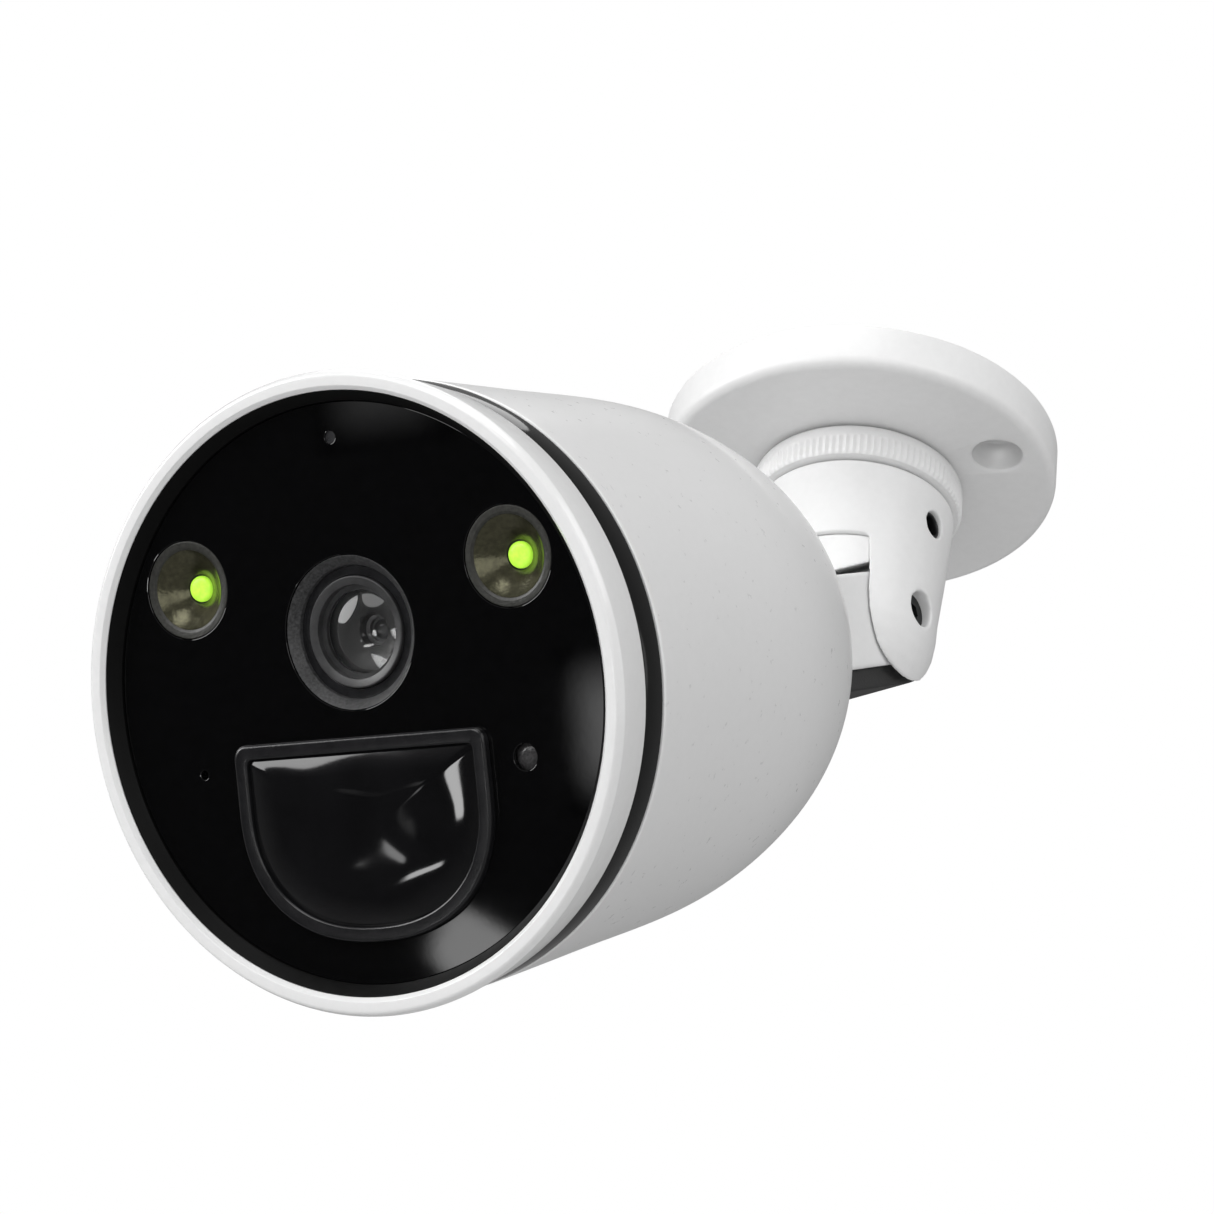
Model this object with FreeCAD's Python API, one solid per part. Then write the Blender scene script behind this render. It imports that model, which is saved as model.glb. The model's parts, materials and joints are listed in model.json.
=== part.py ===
import FreeCAD, Part
import math
import os

V = FreeCAD.Vector

# Outdoor bullet security camera on a ceiling or eave bracket. All lengths in millimetres.
#
# Row frame: origin at the centre of the base plate's mounting face, +Z towards the ceiling.
# The camera hangs below and looks mainly towards -Y.
# Camera frame: Y is the camera's own axis, -Y forward, Z up, origin at the front lip's centre.
# Camera pieces are drawn in the camera frame, then rolled, tilted and hung on the pivot.

# ---- pose of the camera on its bracket ----
REST_TILT = 34.4        # camera axis below the horizontal
REST_ROLL = 9.5         # camera turned about its own axis
PIVOT_DROP = 35.0       # tilt axis below the mounting face
PIVOT_Y = 132.0         # tilt axis behind the front lip

# ---- base plate, lock ring and stem ----
PLATE_R = 30.5
PLATE_T = 7.4
PLATE_EDGE_R = 1.6
PLATE_HOLE_PCD_R = 23.0
PLATE_HOLE_R = 2.25
PLATE_RECESS_R = 3.9
PLATE_RECESS_DEPTH = 5.4
PLATE_HOLE_ANGLE = 9.5
PLATE_HOLES = 2
POCKET_R_IN = 14.5
POCKET_R_OUT = 25.8
POCKET_DEPTH = 4.4
SCREW_BOSS_R = 6.2
GASKET_R_IN = 27.0
GASKET_R_OUT = 29.0
GASKET_T = 1.2
BOSS_R = 12.6
BOSS_END = 10.2
POST_R = 6.0
POST_END = 21.8
RUN_GAP = 0.05
GAP = 0.3
RING_START = 7.7
RING_END = 13.4
RING_R = 16.3
RING_TOOTH = 0.3
RING_TEETH = 96
RING_BORE_R = 12.9
RING_LIP_R = 11.4
RING_LIP_START = 12.4
FLANGE_T = 1.6
FLANGE_R = 12.5
NECK_R = 11.1
STEM_START = 13.7
STEM_R = 15.2
STEM_END_R = 13.7
SLOT_ROOF = 8.4         # roof of the slot above the tilt axis
SLOT_HALF = 9.8
EAR_TIP_R = 10.4
EAR_ROUNDING = [(0.5, 4.0), (1.5, 7.0)]      # the ears draw in by these radii at these drops
EAR_END_R = 10.5
BOLT_HALF = 12.4        # half width over the tilt bolt and nut
SET_SCREW_RISE = 15.0   # clamp screw above the tilt axis
SET_SCREW_R = 1.5
SET_RECESS_R = 2.1
SET_RECESS_X = 10.4     # floor of the clamp screw's recess
SCREW_R = 0.9           # flange screws
SCREW_HEAD_R = 1.8
SCREW_HEAD_T = 0.8
SCREW_LEN = 6.0
SCREW_RING_R = 8.6
INSERT_R = 13.7         # front of the insert that closes the slot above the arm
INSERT_HALF = 9.7
INSERT_BACK_R = 8.4     # its hollow back, round the tilt axis
INSERT_CLEAR = 1.3      # gap above the arm at rest

# ---- arm and tilt bolt ----
TONGUE_HALF = 9.5
TONGUE_R = 8.0
ARM_TOP = 7.2
ARM_BOTTOM = -7.2
BOLT_R = 1.6
BOLT_HEAD_R = 2.75
BOLT_HEAD_T = 1.6
BOLT_SOCKET = 2.5
TILT_NUT_FLATS = 5.5
ARM_COVER_HALF = 8.6    # strip that closes the cable channel under the arm
ARM_COVER_Y = 105.5
ARM_COVER_TOP = -2.0
ARM_COVER_R = 10.2      # depth of the cover below the tilt axis, and its rounded end
ARM_COVER_REACH = 7.7   # how far its end goes behind the tilt axis
CHANNEL_R = 6.8
ARM_FLANGE_R = 14.4
ARM_FLANGE_Y = 99.8
ARM_FLANGE_T = 4.2
SPIGOT_R = 8.0
SPIGOT_Y = 82.0
NUT_T = 5.0
NUT_FLATS = 22.0
WASHER_T = 1.2
SEAL_W = 1.4            # ring seal in the spigot's groove
SEAL_Y0 = 93.6
SEAL_Y1 = 95.6

# ---- housing and front rings ----
HOUSING_Y = 12.2
HOUSING_PROFILE = [
    (39.35, 12.2), (38.5, 24.0), (37.6, 36.0), (36.8, 48.0), (35.6, 59.0), (33.3, 69.0),
    (29.8, 78.4), (25.2, 86.0), (20.4, 91.6), (15.4, 96.0),
]
REAR_BOSS_Y = 99.5
WALL = 2.2
CAVITY_END = 90.6
LIP_R = 38.0
BEZEL_R = 40.5
BEZEL_BACK_R = 39.5
BEZEL_BACK_Y = 7.6
SHOULDER_R = 36.3
SHOULDER_Y = 4.7
RING_BAND_Y0 = 7.8
RING_BAND_Y1 = 12.0
RING_BAND_R = 39.3
TRIM_R_IN = 36.65
TRIM_R_OUT = 37.95
PLATE_FRONT_Y = 2.6
PLATE_BACK_Y = 4.6
FACE_R = 36.6
CARRIER_R = 36.2
CARRIER_IN_R = 34.0
CARRIER_END = 22.0
SHELF_Y = 7.6
SHELF_T = 2.0
SHELF_R_IN = 29.0

# ---- face features, (x, z) in the camera frame ----
LENS_Z = 7.63
LENS_HOLE_R = 9.8
LENS_HOLE_BACK_R = 8.6
LED_X = 24.6
LED_Z = 15.07
LED_HOLE_R = 6.35
PIR_HALF = 19.2
PIR_TOP = -5.4
PIR_SHOULDER = -14.0
PIR_BOTTOM = -31.2
PIR_CORNER = 1.8
PIR_POWER = 2.3
PIR_WALL = 1.9
PIR_FRONT_Y = 1.5
PIR_RIM_Y = 2.1
PIR_DOME = 1.5
SENSOR_XZ = (24.3, -9.6)
SENSOR_R = 1.7
STATUS_XZ = (0.0, 32.2)
STATUS_R = 0.8
MIC_XZ = (-24.8, -8.8)
MIC_R = 0.6

# ---- lens, boards and inner pieces ----
BARREL_FRONT_Y = 3.8
BARREL_R = 7.1
BARREL_THREAD_R = 6.0
GLASS_R = 5.9
BOARD_Y = 6.0
BOARD_T = 1.6
BOARD_R = 33.4
SENSOR_BOARD_Y = 24.0
CARRIER_SCREW_ANGLES = (70.0, 190.0, 310.0)
CARRIER_SCREW_R = 31.4
MAIN_X = -5.8
COVER_Y0 = 46.0
COVER_Y1 = 69.0
COVER_HALF = 8.0
COVER_T = 1.5
RECESS_DEPTH = 1.9
COVER_GAP = 0.6
HINGE_BEAD_R = 0.45     # round bead along the cover's hinge line
HINGE_BEAD_HALF = 3.5
HINGE_Z = -33.25
CARD_X = -3.4
CARD_Y = 48.9
CARD_W = 11.0
CARD_LEN = 15.0
CARD_T = 1.0
CARD_Z = -33.3
BUTTON_Y = 64.6
BUTTON_X = 0.0
GLAND_Z = -20.0
GLAND_R = 4.2
GLAND_BORE_R = 2.0
GLAND_Y0 = 84.0
GLAND_Y1 = 96.5
SPEAKER_Y = 31.0
SPEAKER_R = 10.0


# ---- helpers ----
def box(x0, x1, y0, y1, z0, z1):
    return Part.makeBox(x1 - x0, y1 - y0, z1 - z0, V(x0, y0, z0))


def rod_x(r, x0, x1, y, z):
    return Part.makeCylinder(r, x1 - x0, V(x0, y, z), V(1, 0, 0))


def rod_y(r, y0, y1, x=0.0, z=0.0):
    return Part.makeCylinder(r, y1 - y0, V(x, y0, z), V(0, 1, 0))


def rod_z(r, z0, z1, x=0.0, y=0.0):
    return Part.makeCylinder(r, z1 - z0, V(x, y, z0), V(0, 0, 1))


def tube_y(r_out, r_in, y0, y1, x=0.0, z=0.0):
    return rod_y(r_out, y0, y1, x, z).cut(rod_y(r_in, y0 - 1, y1 + 1, x, z))


def lathe_y(points):
    """Turn a closed outline of (radius, y) points about the Y axis."""
    corners = [V(r, y, 0) for r, y in points]
    wire = Part.makePolygon(corners + corners[:1])
    return Part.Face(wire).revolve(V(0, 0, 0), V(0, 1, 0), 360)


def lathe_z(points):
    """Turn a closed outline of (radius, z) points about the Z axis."""
    corners = [V(r, 0, z) for r, z in points]
    wire = Part.makePolygon(corners + corners[:1])
    return Part.Face(wire).revolve(V(0, 0, 0), V(0, 0, 1), 360)


def union(first, *others):
    result = first
    for other in others:
        result = result.fuse(other)
    return result.removeSplitter()


def minus(shape, *tools):
    result = shape
    for tool in tools:
        result = result.cut(tool)
    return result


def at_angle(radius, degrees):
    a = math.radians(degrees)
    return radius * math.cos(a), radius * math.sin(a)


def hexagon_rod_y(flats, y0, y1):
    r = flats / math.sqrt(3.0)
    corners = [V(r * math.cos(math.radians(60 * i)), y0, r * math.sin(math.radians(60 * i)))
               for i in range(6)]
    face = Part.Face(Part.makePolygon(corners + corners[:1]))
    return face.extrude(V(0, y1 - y0, 0))


def hexagon_rod_x(flats, x0, x1, y, z):
    r = flats / math.sqrt(3.0)
    corners = [V(x0, y + r * math.cos(math.radians(60 * i)), z + r * math.sin(math.radians(60 * i)))
               for i in range(6)]
    face = Part.Face(Part.makePolygon(corners + corners[:1]))
    return face.extrude(V(x1 - x0, 0, 0))


def tilt_and_hang(shape):
    shape.translate(V(0, -PIVOT_Y, 0))
    shape.rotate(V(0, 0, 0), V(1, 0, 0), REST_TILT)
    shape.translate(V(0, 0, -PIVOT_DROP))
    return shape


def save_bracket(name, shape):
    shape.exportStep("parts/" + name + ".step")


def save_arm(name, shape):
    save_bracket(name, tilt_and_hang(shape.copy()))


def save_camera(name, shape):
    piece = shape.copy()
    piece.rotate(V(0, 0, 0), V(0, 1, 0), REST_ROLL)
    save_bracket(name, tilt_and_hang(piece))


# ---- bracket ----
def plate_hole_centres():
    step = 360.0 / PLATE_HOLES
    return [at_angle(PLATE_HOLE_PCD_R, PLATE_HOLE_ANGLE + step * i) for i in range(PLATE_HOLES)]


def base_plate():
    disc = rod_z(PLATE_R, -PLATE_T, 0)
    front_edge = [e for e in disc.Edges if abs(e.BoundBox.ZMax + PLATE_T) < 0.01
                  and e.BoundBox.XLength > PLATE_R]
    disc = disc.makeFillet(PLATE_EDGE_R, front_edge)
    disc = union(disc, rod_z(BOSS_R, -BOSS_END, -PLATE_T + 1))
    pocket = rod_z(POCKET_R_OUT, -POCKET_DEPTH, 1).cut(rod_z(POCKET_R_IN, -POCKET_DEPTH - 1, 2))
    for x, y in plate_hole_centres():
        pocket = pocket.cut(rod_z(SCREW_BOSS_R, -POCKET_DEPTH - 1, 2, x, y))
    disc = disc.cut(pocket)
    groove = rod_z(GASKET_R_OUT, -GASKET_T, 1).cut(rod_z(GASKET_R_IN, -GASKET_T - 1, 2))
    disc = disc.cut(groove)
    for x, y in plate_hole_centres():
        disc = disc.cut(rod_z(PLATE_HOLE_R, -PLATE_T - 1, 1, x, y))
        disc = disc.cut(rod_z(PLATE_RECESS_R, -PLATE_T - 1, -PLATE_T + PLATE_RECESS_DEPTH, x, y))
    return disc.cut(rod_z(POST_R, -POST_END, 1))


def base_gasket():
    return rod_z(GASKET_R_OUT, -GASKET_T, 0).cut(rod_z(GASKET_R_IN, -GASKET_T - 1, 1))


def pan_post():
    post = rod_z(POST_R, -POST_END, 0)
    grip_z = SET_SCREW_RISE - PIVOT_DROP
    groove = rod_z(POST_R + 1, grip_z - 2, grip_z + 2).cut(rod_z(POST_R - 0.6, grip_z - 3, grip_z + 3))
    return post.cut(groove)


def lock_ring():
    points = []
    for i in range(RING_TEETH * 2):
        r = RING_R - RING_TOOTH * (i % 2)
        a = math.pi * i / RING_TEETH
        points.append(V(r * math.cos(a), r * math.sin(a), -RING_END))
    face = Part.Face(Part.makePolygon(points + points[:1]))
    ring = face.extrude(V(0, 0, RING_END - RING_START))
    ring = ring.cut(rod_z(RING_BORE_R, -RING_LIP_START, 0))
    return ring.cut(rod_z(RING_LIP_R, -RING_END - 1, 0))


def stem_yoke():
    drop = PIVOT_DROP
    ear_points = [(STEM_END_R - inward, -drop - down) for inward, down in EAR_ROUNDING]
    body = lathe_z([(0, -STEM_START), (STEM_R - 0.6, -STEM_START), (STEM_R, -STEM_START - 0.6),
                    (STEM_END_R, -drop)] + ear_points
                   + [(EAR_END_R, -drop - EAR_TIP_R), (0, -drop - EAR_TIP_R)])
    roof_z = -drop + SLOT_ROOF
    far = STEM_R + 5
    body = body.cut(box(-SLOT_HALF, SLOT_HALF, -far, far, -drop - far, roof_z))
    below = box(-far, far, -far, far, -drop - far, -drop)
    body = body.cut(below.cut(rod_x(EAR_TIP_R, -far - 1, far + 1, 0, -drop)))
    body = body.cut(rod_z(POST_R + RUN_GAP, -POST_END - GAP, 0))
    body = body.cut(rod_x(BOLT_R, -far, far, 0, -drop))
    body = body.cut(rod_x(BOLT_HEAD_R, BOLT_HALF - BOLT_HEAD_T, far, 0, -drop))
    body = body.cut(hexagon_rod_x(TILT_NUT_FLATS, -far, -BOLT_HALF + BOLT_HEAD_T, 0, -drop))
    grip_z = SET_SCREW_RISE - drop
    body = body.cut(rod_x(SET_SCREW_R, 0, far, 0, grip_z))
    body = body.cut(rod_x(SET_RECESS_R, SET_RECESS_X, far, 0, grip_z))
    for x, y in flange_screw_centres():
        body = body.cut(rod_z(SCREW_R, -BOSS_END - SCREW_LEN - 1, -BOSS_END, x, y))
    return body


def slot_insert():
    """Closes the slot's mouth above the arm, flush with the stem's front."""
    drop = PIVOT_DROP
    roof_z = -drop + SLOT_ROOF
    front = box(-INSERT_HALF, INSERT_HALF, -INSERT_R, -INSERT_R / 3, -drop, roof_z)
    insert = rod_z(INSERT_R, -drop, roof_z).common(front)
    insert = insert.cut(rod_x(INSERT_BACK_R, -INSERT_R, INSERT_R, 0, -drop))
    arm_space = box(-INSERT_R, INSERT_R, 0, 2 * PIVOT_Y, -2 * INSERT_R, ARM_TOP + INSERT_CLEAR)
    return insert.cut(tilt_and_hang(arm_space))


def flange_screw_centres():
    return [at_angle(SCREW_RING_R, 90 + 120 * i) for i in range(3)]


def stem_flange():
    top = -BOSS_END - GAP
    disc = union(rod_z(FLANGE_R, top - FLANGE_T, top), rod_z(NECK_R, -STEM_START, top))
    disc = disc.cut(rod_z(POST_R + RUN_GAP, -STEM_START - 1, top + 1))
    for x, y in flange_screw_centres():
        disc = disc.cut(rod_z(SCREW_R, -STEM_START - 1, top + 1, x, y))
        disc = disc.cut(rod_z(SCREW_HEAD_R, top - SCREW_HEAD_T, top + 1, x, y))
    return disc


def flange_screws():
    top = -BOSS_END - GAP
    screws = []
    for x, y in flange_screw_centres():
        shank = rod_z(SCREW_R, top - SCREW_LEN, top - SCREW_HEAD_T, x, y)
        screws.append(shank.fuse(rod_z(SCREW_HEAD_R, top - SCREW_HEAD_T, top, x, y)))
    return Part.makeCompound(screws)


def tilt_bolt():
    z = -PIVOT_DROP
    shank = rod_x(BOLT_R, -BOLT_HALF + 0.4, BOLT_HALF - BOLT_HEAD_T, 0, z)
    head = rod_x(BOLT_HEAD_R, BOLT_HALF - BOLT_HEAD_T, BOLT_HALF - 0.6, 0, z)
    socket = hexagon_rod_x(BOLT_SOCKET, BOLT_HALF - BOLT_HEAD_T + 0.1, BOLT_HALF, 0, z)
    return union(shank, head).cut(socket)


def tilt_nut():
    z = -PIVOT_DROP
    nut = hexagon_rod_x(TILT_NUT_FLATS, -BOLT_HALF + 0.2, -BOLT_HALF + BOLT_HEAD_T, 0, z)
    return nut.cut(rod_x(BOLT_R, -BOLT_HALF - 1, 0, 0, z))


def clamp_screw():
    z = SET_SCREW_RISE - PIVOT_DROP
    screw = rod_x(SET_SCREW_R, POST_R - 0.6 + GAP, SET_RECESS_X - 0.2, 0, z)
    return screw.cut(hexagon_rod_x(1.5, SET_RECESS_X - 1.8, STEM_R, 0, z))


# ---- arm between bracket and camera ----
def camera_arm():
    bar = box(-TONGUE_HALF, TONGUE_HALF, ARM_FLANGE_Y + 1, PIVOT_Y, ARM_BOTTOM, ARM_TOP)
    bar = bar.makeFillet(0.8, [e for e in bar.Edges if e.BoundBox.YLength > 10])
    tongue = rod_x(TONGUE_R, -TONGUE_HALF, TONGUE_HALF, PIVOT_Y, 0)
    clip = box(-TONGUE_HALF, TONGUE_HALF, 0, PIVOT_Y + 50, -TONGUE_R, TONGUE_R)
    flange = rod_y(ARM_FLANGE_R, ARM_FLANGE_Y, ARM_FLANGE_Y + ARM_FLANGE_T)
    rim = [e for e in flange.Edges if e.BoundBox.XLength > ARM_FLANGE_R]
    flange = flange.makeFillet(0.8, rim)
    spigot = rod_y(SPIGOT_R, SPIGOT_Y, ARM_FLANGE_Y + 1)
    arm = union(bar, tongue.common(clip), flange, spigot)
    arm = arm.cut(rod_x(BOLT_R + RUN_GAP, -20, 20, PIVOT_Y, 0))
    groove = tube_y(SPIGOT_R + 1, SPIGOT_R - SEAL_W, SEAL_Y0, SEAL_Y1)
    return minus(arm, groove, arm_cover())


def under_arm(reach, y0):
    """A prism over the cover's width: flat at a reach below the tilt axis, with a round end."""
    w = ARM_COVER_HALF
    return union(box(-w, w, y0, PIVOT_Y, -reach, 0), rod_x(reach, -w, w, PIVOT_Y, 0))


def arm_cover():
    shell = under_arm(ARM_COVER_R, ARM_COVER_Y).cut(under_arm(CHANNEL_R, ARM_COVER_Y - 1))
    w = ARM_COVER_HALF
    return shell.common(box(-w, w, ARM_COVER_Y, PIVOT_Y + ARM_COVER_REACH, -ARM_COVER_R, ARM_COVER_TOP))


def arm_seal():
    return tube_y(SPIGOT_R - 0.02, SPIGOT_R - SEAL_W, SEAL_Y0, SEAL_Y1)


def swivel_washer():
    end = CAVITY_END - GAP
    return tube_y(12.0, SPIGOT_R, end - WASHER_T, end)


def swivel_nut():
    end = CAVITY_END - GAP - WASHER_T
    return hexagon_rod_y(NUT_FLATS, end - NUT_T, end).cut(rod_y(SPIGOT_R, 70, 100))


# ---- housing ----
def spline_solid(profile, end_y):
    """Turn a smooth (radius, y) profile about Y, closed by flat ends."""
    curve = Part.BSplineCurve()
    curve.interpolate([V(r, y, 0) for r, y in profile])
    first = profile[0]
    last = profile[-1]
    edges = [curve.toShape()]
    corners = [V(last[0], last[1], 0)]
    if end_y > last[1]:
        corners.append(V(last[0], end_y, 0))
    corners += [V(0, end_y, 0), V(0, first[1], 0), V(first[0], first[1], 0)]
    for a, b in zip(corners, corners[1:]):
        edges.append(Part.makeLine(a, b))
    face = Part.Face(Part.Wire(Part.__sortEdges__(edges)))
    return face.revolve(V(0, 0, 0), V(0, 1, 0), 360)


def inset(profile, depth):
    """Move a (radius, y) profile inwards along its normals."""
    moved = []
    for i, (r, y) in enumerate(profile):
        before = profile[max(i - 1, 0)]
        after = profile[min(i + 1, len(profile) - 1)]
        dr = after[0] - before[0]
        dy = after[1] - before[1]
        length = math.hypot(dr, dy)
        moved.append((r - depth * dy / length, y + depth * dr / length))
    return moved


def outer_solid():
    return spline_solid(HOUSING_PROFILE, REAR_BOSS_Y)


def skin_below(depth):
    """The solid left inside the housing's outer surface at a given depth, front part only."""
    profile = inset(HOUSING_PROFILE, depth)
    return spline_solid(profile, profile[-1][1])


def housing():
    outer = outer_solid()
    inner_profile = inset(HOUSING_PROFILE, WALL)
    inner_profile[0] = (HOUSING_PROFILE[0][0] - WALL, HOUSING_Y - 0.01)
    cavity = spline_solid(inner_profile, inner_profile[-1][1])
    cavity = cavity.common(box(-60, 60, 0, CAVITY_END, -60, 60))
    pad = box(-12, 12, COVER_Y0 - 4, COVER_Y1 + 3, -60, -29.5).common(outer)
    cavity = cavity.cut(pad)
    for x, z in carrier_screw_centres():
        cavity = cavity.cut(rod_y(3.2, CARRIER_END, 40.0, x * 1.06, z * 1.06))
    shell = outer.cut(cavity)
    window = box(-COVER_HALF - COVER_GAP, COVER_HALF + COVER_GAP, COVER_Y0 - COVER_GAP,
                 COVER_Y1 + HINGE_BEAD_R + COVER_GAP, -60, 0)
    shell = shell.cut(window.cut(skin_below(RECESS_DEPTH)))
    shell = shell.cut(box(CARD_X - 0.5, CARD_X + CARD_T + 0.5, CARD_Y - 0.5, CARD_Y + CARD_W + 0.5, -60, -20))
    shell = shell.cut(rod_z(1.8, -60, -20, BUTTON_X, BUTTON_Y))
    for x, y in grille_centres():
        shell = shell.cut(rod_z(0.7, -60, -20, x, y))
    shell = shell.cut(rod_y(SPIGOT_R + RUN_GAP, 60, 120))
    shell = shell.cut(rod_y(GLAND_R, 60, 120, 0, GLAND_Z))
    for x, z in carrier_screw_centres():
        shell = shell.cut(rod_y(1.2, CARRIER_END - 1, 34.0, x, z))
    return shell


def grille_centres():
    centres = [(0.0, SPEAKER_Y)]
    for count, radius in ((6, 2.8), (12, 5.6)):
        for i in range(count):
            x, y = at_angle(radius, 360.0 * i / count)
            centres.append((x, SPEAKER_Y + y))
    return centres


def carrier_screw_centres():
    return [at_angle(CARRIER_SCREW_R, a) for a in CARRIER_SCREW_ANGLES]


def bezel_ring():
    return lathe_y([(LIP_R, 0.5), (LIP_R + 0.6, 0.0), (BEZEL_R - 0.8, 0.0), (BEZEL_R - 0.1, 0.4),
                    (BEZEL_R, 1.2), (BEZEL_BACK_R, BEZEL_BACK_Y), (SHOULDER_R, BEZEL_BACK_Y),
                    (SHOULDER_R, SHOULDER_Y), (LIP_R, SHOULDER_Y)])


def trim_ring():
    return lathe_y([(TRIM_R_OUT, 0.5), (TRIM_R_OUT, PLATE_BACK_Y), (TRIM_R_IN, PLATE_BACK_Y),
                    (TRIM_R_IN, PLATE_FRONT_Y - 0.3)])


def black_band():
    return tube_y(RING_BAND_R, SHOULDER_R, RING_BAND_Y0, RING_BAND_Y1)


def pir_outline(inset_by, y):
    """D-shaped outline of the motion window: straight top, rounded bottom."""
    half = PIR_HALF - inset_by
    top = PIR_TOP - inset_by
    depth = PIR_SHOULDER - PIR_BOTTOM - inset_by
    corner = max(PIR_CORNER - 0.5 * inset_by, 0.6)
    points = []
    for i in range(25):
        a = math.pi * i / 24
        c = math.cos(a)
        s = math.sin(a)
        x = half * math.copysign(abs(c) ** (2.0 / PIR_POWER), c)
        points.append(V(x, y, PIR_SHOULDER - depth * s ** (2.0 / PIR_POWER)))
    curve = Part.BSplineCurve()
    curve.interpolate(points)
    left = V(-half, y, PIR_SHOULDER)
    left_up = V(-half, y, top - corner)
    right = V(half, y, PIR_SHOULDER)
    right_up = V(half, y, top - corner)
    k = corner * (1 - math.sqrt(0.5))
    arc_left = Part.Arc(left_up, V(-half + k, y, top - k), V(-half + corner, y, top))
    arc_right = Part.Arc(V(half - corner, y, top), V(half - k, y, top - k), right_up)
    edges = [curve.toShape(), Part.makeLine(left, left_up), arc_left.toShape(),
             Part.makeLine(V(-half + corner, y, top), V(half - corner, y, top)),
             arc_right.toShape(), Part.makeLine(right_up, right)]
    return Part.Face(Part.Wire(Part.__sortEdges__(edges)))


def pir_prism(inset_by, y0, y1):
    return pir_outline(inset_by, y0).extrude(V(0, y1 - y0, 0))


def faceplate():
    plate = rod_y(FACE_R, PLATE_FRONT_Y, PLATE_BACK_Y)
    t = PLATE_BACK_Y - PLATE_FRONT_Y
    cone = Part.makeCone(LENS_HOLE_R, LENS_HOLE_BACK_R, t, V(0, PLATE_FRONT_Y, LENS_Z), V(0, 1, 0))
    plate = minus(plate, cone, pir_prism(0.0, 0, 10))
    for x in (-LED_X, LED_X):
        plate = plate.cut(rod_y(LED_HOLE_R, 0, 10, x, LED_Z))
    for (x, z), r in ((SENSOR_XZ, SENSOR_R), (STATUS_XZ, STATUS_R), (MIC_XZ, MIC_R)):
        plate = plate.cut(rod_y(r, 0, 10, x, z))
    return plate


def pir_frame():
    return pir_prism(0.0, PIR_FRONT_Y, PLATE_BACK_Y).cut(pir_prism(PIR_WALL, 0, 10))


def pir_lens():
    """Thin domed window, cut as a prism with a shallow spherical front and back."""
    prism = pir_prism(PIR_WALL, 0.0, PLATE_BACK_Y)
    mid_z = (PIR_TOP + PIR_BOTTOM) / 2
    reach = math.hypot(PIR_HALF, mid_z - PIR_BOTTOM)
    radius = (reach ** 2 + PIR_DOME ** 2) / (2 * PIR_DOME)
    centre = V(0, PIR_RIM_Y - PIR_DOME + radius, mid_z)
    front = Part.makeSphere(radius, centre)
    back = Part.makeSphere(radius - 0.9, centre)
    dome = prism.common(front)
    rim = prism.cut(pir_prism(PIR_WALL + 1.2, -1, 10)).common(front)
    return union(dome.cut(back), rim)


def pir_sensor():
    z = (PIR_TOP + PIR_BOTTOM) / 2
    can = rod_y(4.1, 10.8, 14.2, 0, z)
    base = rod_y(4.6, 14.2, 15.0, 0, z)
    window = box(-1.5, 1.5, 10.4, 10.8, z - 2, z + 2)
    return union(can, base, window)


def pir_board():
    z = (PIR_TOP + PIR_BOTTOM) / 2
    return box(-11, 11, 15.0, 16.2, z - 8.5, z + 8)


def reflector(x):
    rim_y = PLATE_FRONT_Y + 0.3
    bowl = lathe_y([(2.1, 5.6), (2.4, 5.0), (3.5, 4.1), (5.0, rim_y), (LED_HOLE_R, rim_y),
                    (LED_HOLE_R, 4.1), (5.0, 4.6), (3.6, 5.6)])
    bowl.translate(V(x, 0, LED_Z))
    return bowl


def led(x):
    package = box(x - 1.75, x + 1.75, BOARD_Y - 0.35, BOARD_Y, LED_Z - 1.75, LED_Z + 1.75)
    chip = rod_y(1.6, BOARD_Y - 0.75, BOARD_Y - 0.3, x, LED_Z)
    return union(package, chip)


def led_board():
    board = rod_y(BOARD_R, BOARD_Y, BOARD_Y + BOARD_T)
    board = board.cut(rod_y(7.6, 0, 20, 0, LENS_Z))
    board = board.cut(rod_y(7.4, 0, 20, 0, (PIR_TOP + PIR_BOTTOM) / 2))
    for x, z in carrier_screw_centres():
        board = board.cut(rod_y(2.8, 0, 20, x, z))
    return board


def front_carrier():
    sleeve = tube_y(CARRIER_R, CARRIER_IN_R, SHOULDER_Y, CARRIER_END)
    shelf = tube_y(CARRIER_IN_R + 1, SHELF_R_IN, SHELF_Y, SHELF_Y + SHELF_T)
    carrier = union(sleeve, shelf)
    for x, z in carrier_screw_centres():
        post = rod_y(3.0, SHELF_Y, CARRIER_END, x, z)
        carrier = union(carrier, post)
        carrier = carrier.cut(rod_y(1.2, 0, 40, x, z))
    groove = tube_y(CARRIER_R + 2, CARRIER_R - 1.2, 15.0, 17.0)
    return carrier.cut(groove)


def front_seal():
    return tube_y(CARRIER_R, CARRIER_R - 1.2, 15.0, 17.0)


def carrier_screws():
    screws = []
    for x, z in carrier_screw_centres():
        screws.append(rod_y(1.2, SHELF_Y, 32.0, x, z).fuse(rod_y(2.4, SHELF_Y - 1.6, SHELF_Y, x, z)))
    return Part.makeCompound(screws)


# ---- lens and image sensor ----
def lens_seal():
    return tube_y(LENS_HOLE_BACK_R - 0.1, BARREL_R, PLATE_BACK_Y - 0.4, BOARD_Y, 0, LENS_Z)


def lens_barrel():
    profile = [(BARREL_R, BARREL_FRONT_Y), (BARREL_R, 9.0), (BARREL_THREAD_R, 9.0),
               (BARREL_THREAD_R, 19.0), (4.0, 19.0), (4.0, 9.0), (GLASS_R, 7.6),
               (GLASS_R, BARREL_FRONT_Y + 0.9), (GLASS_R + 0.7, BARREL_FRONT_Y)]
    barrel = lathe_y(profile)
    barrel.translate(V(0, 0, LENS_Z))
    return barrel


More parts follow.
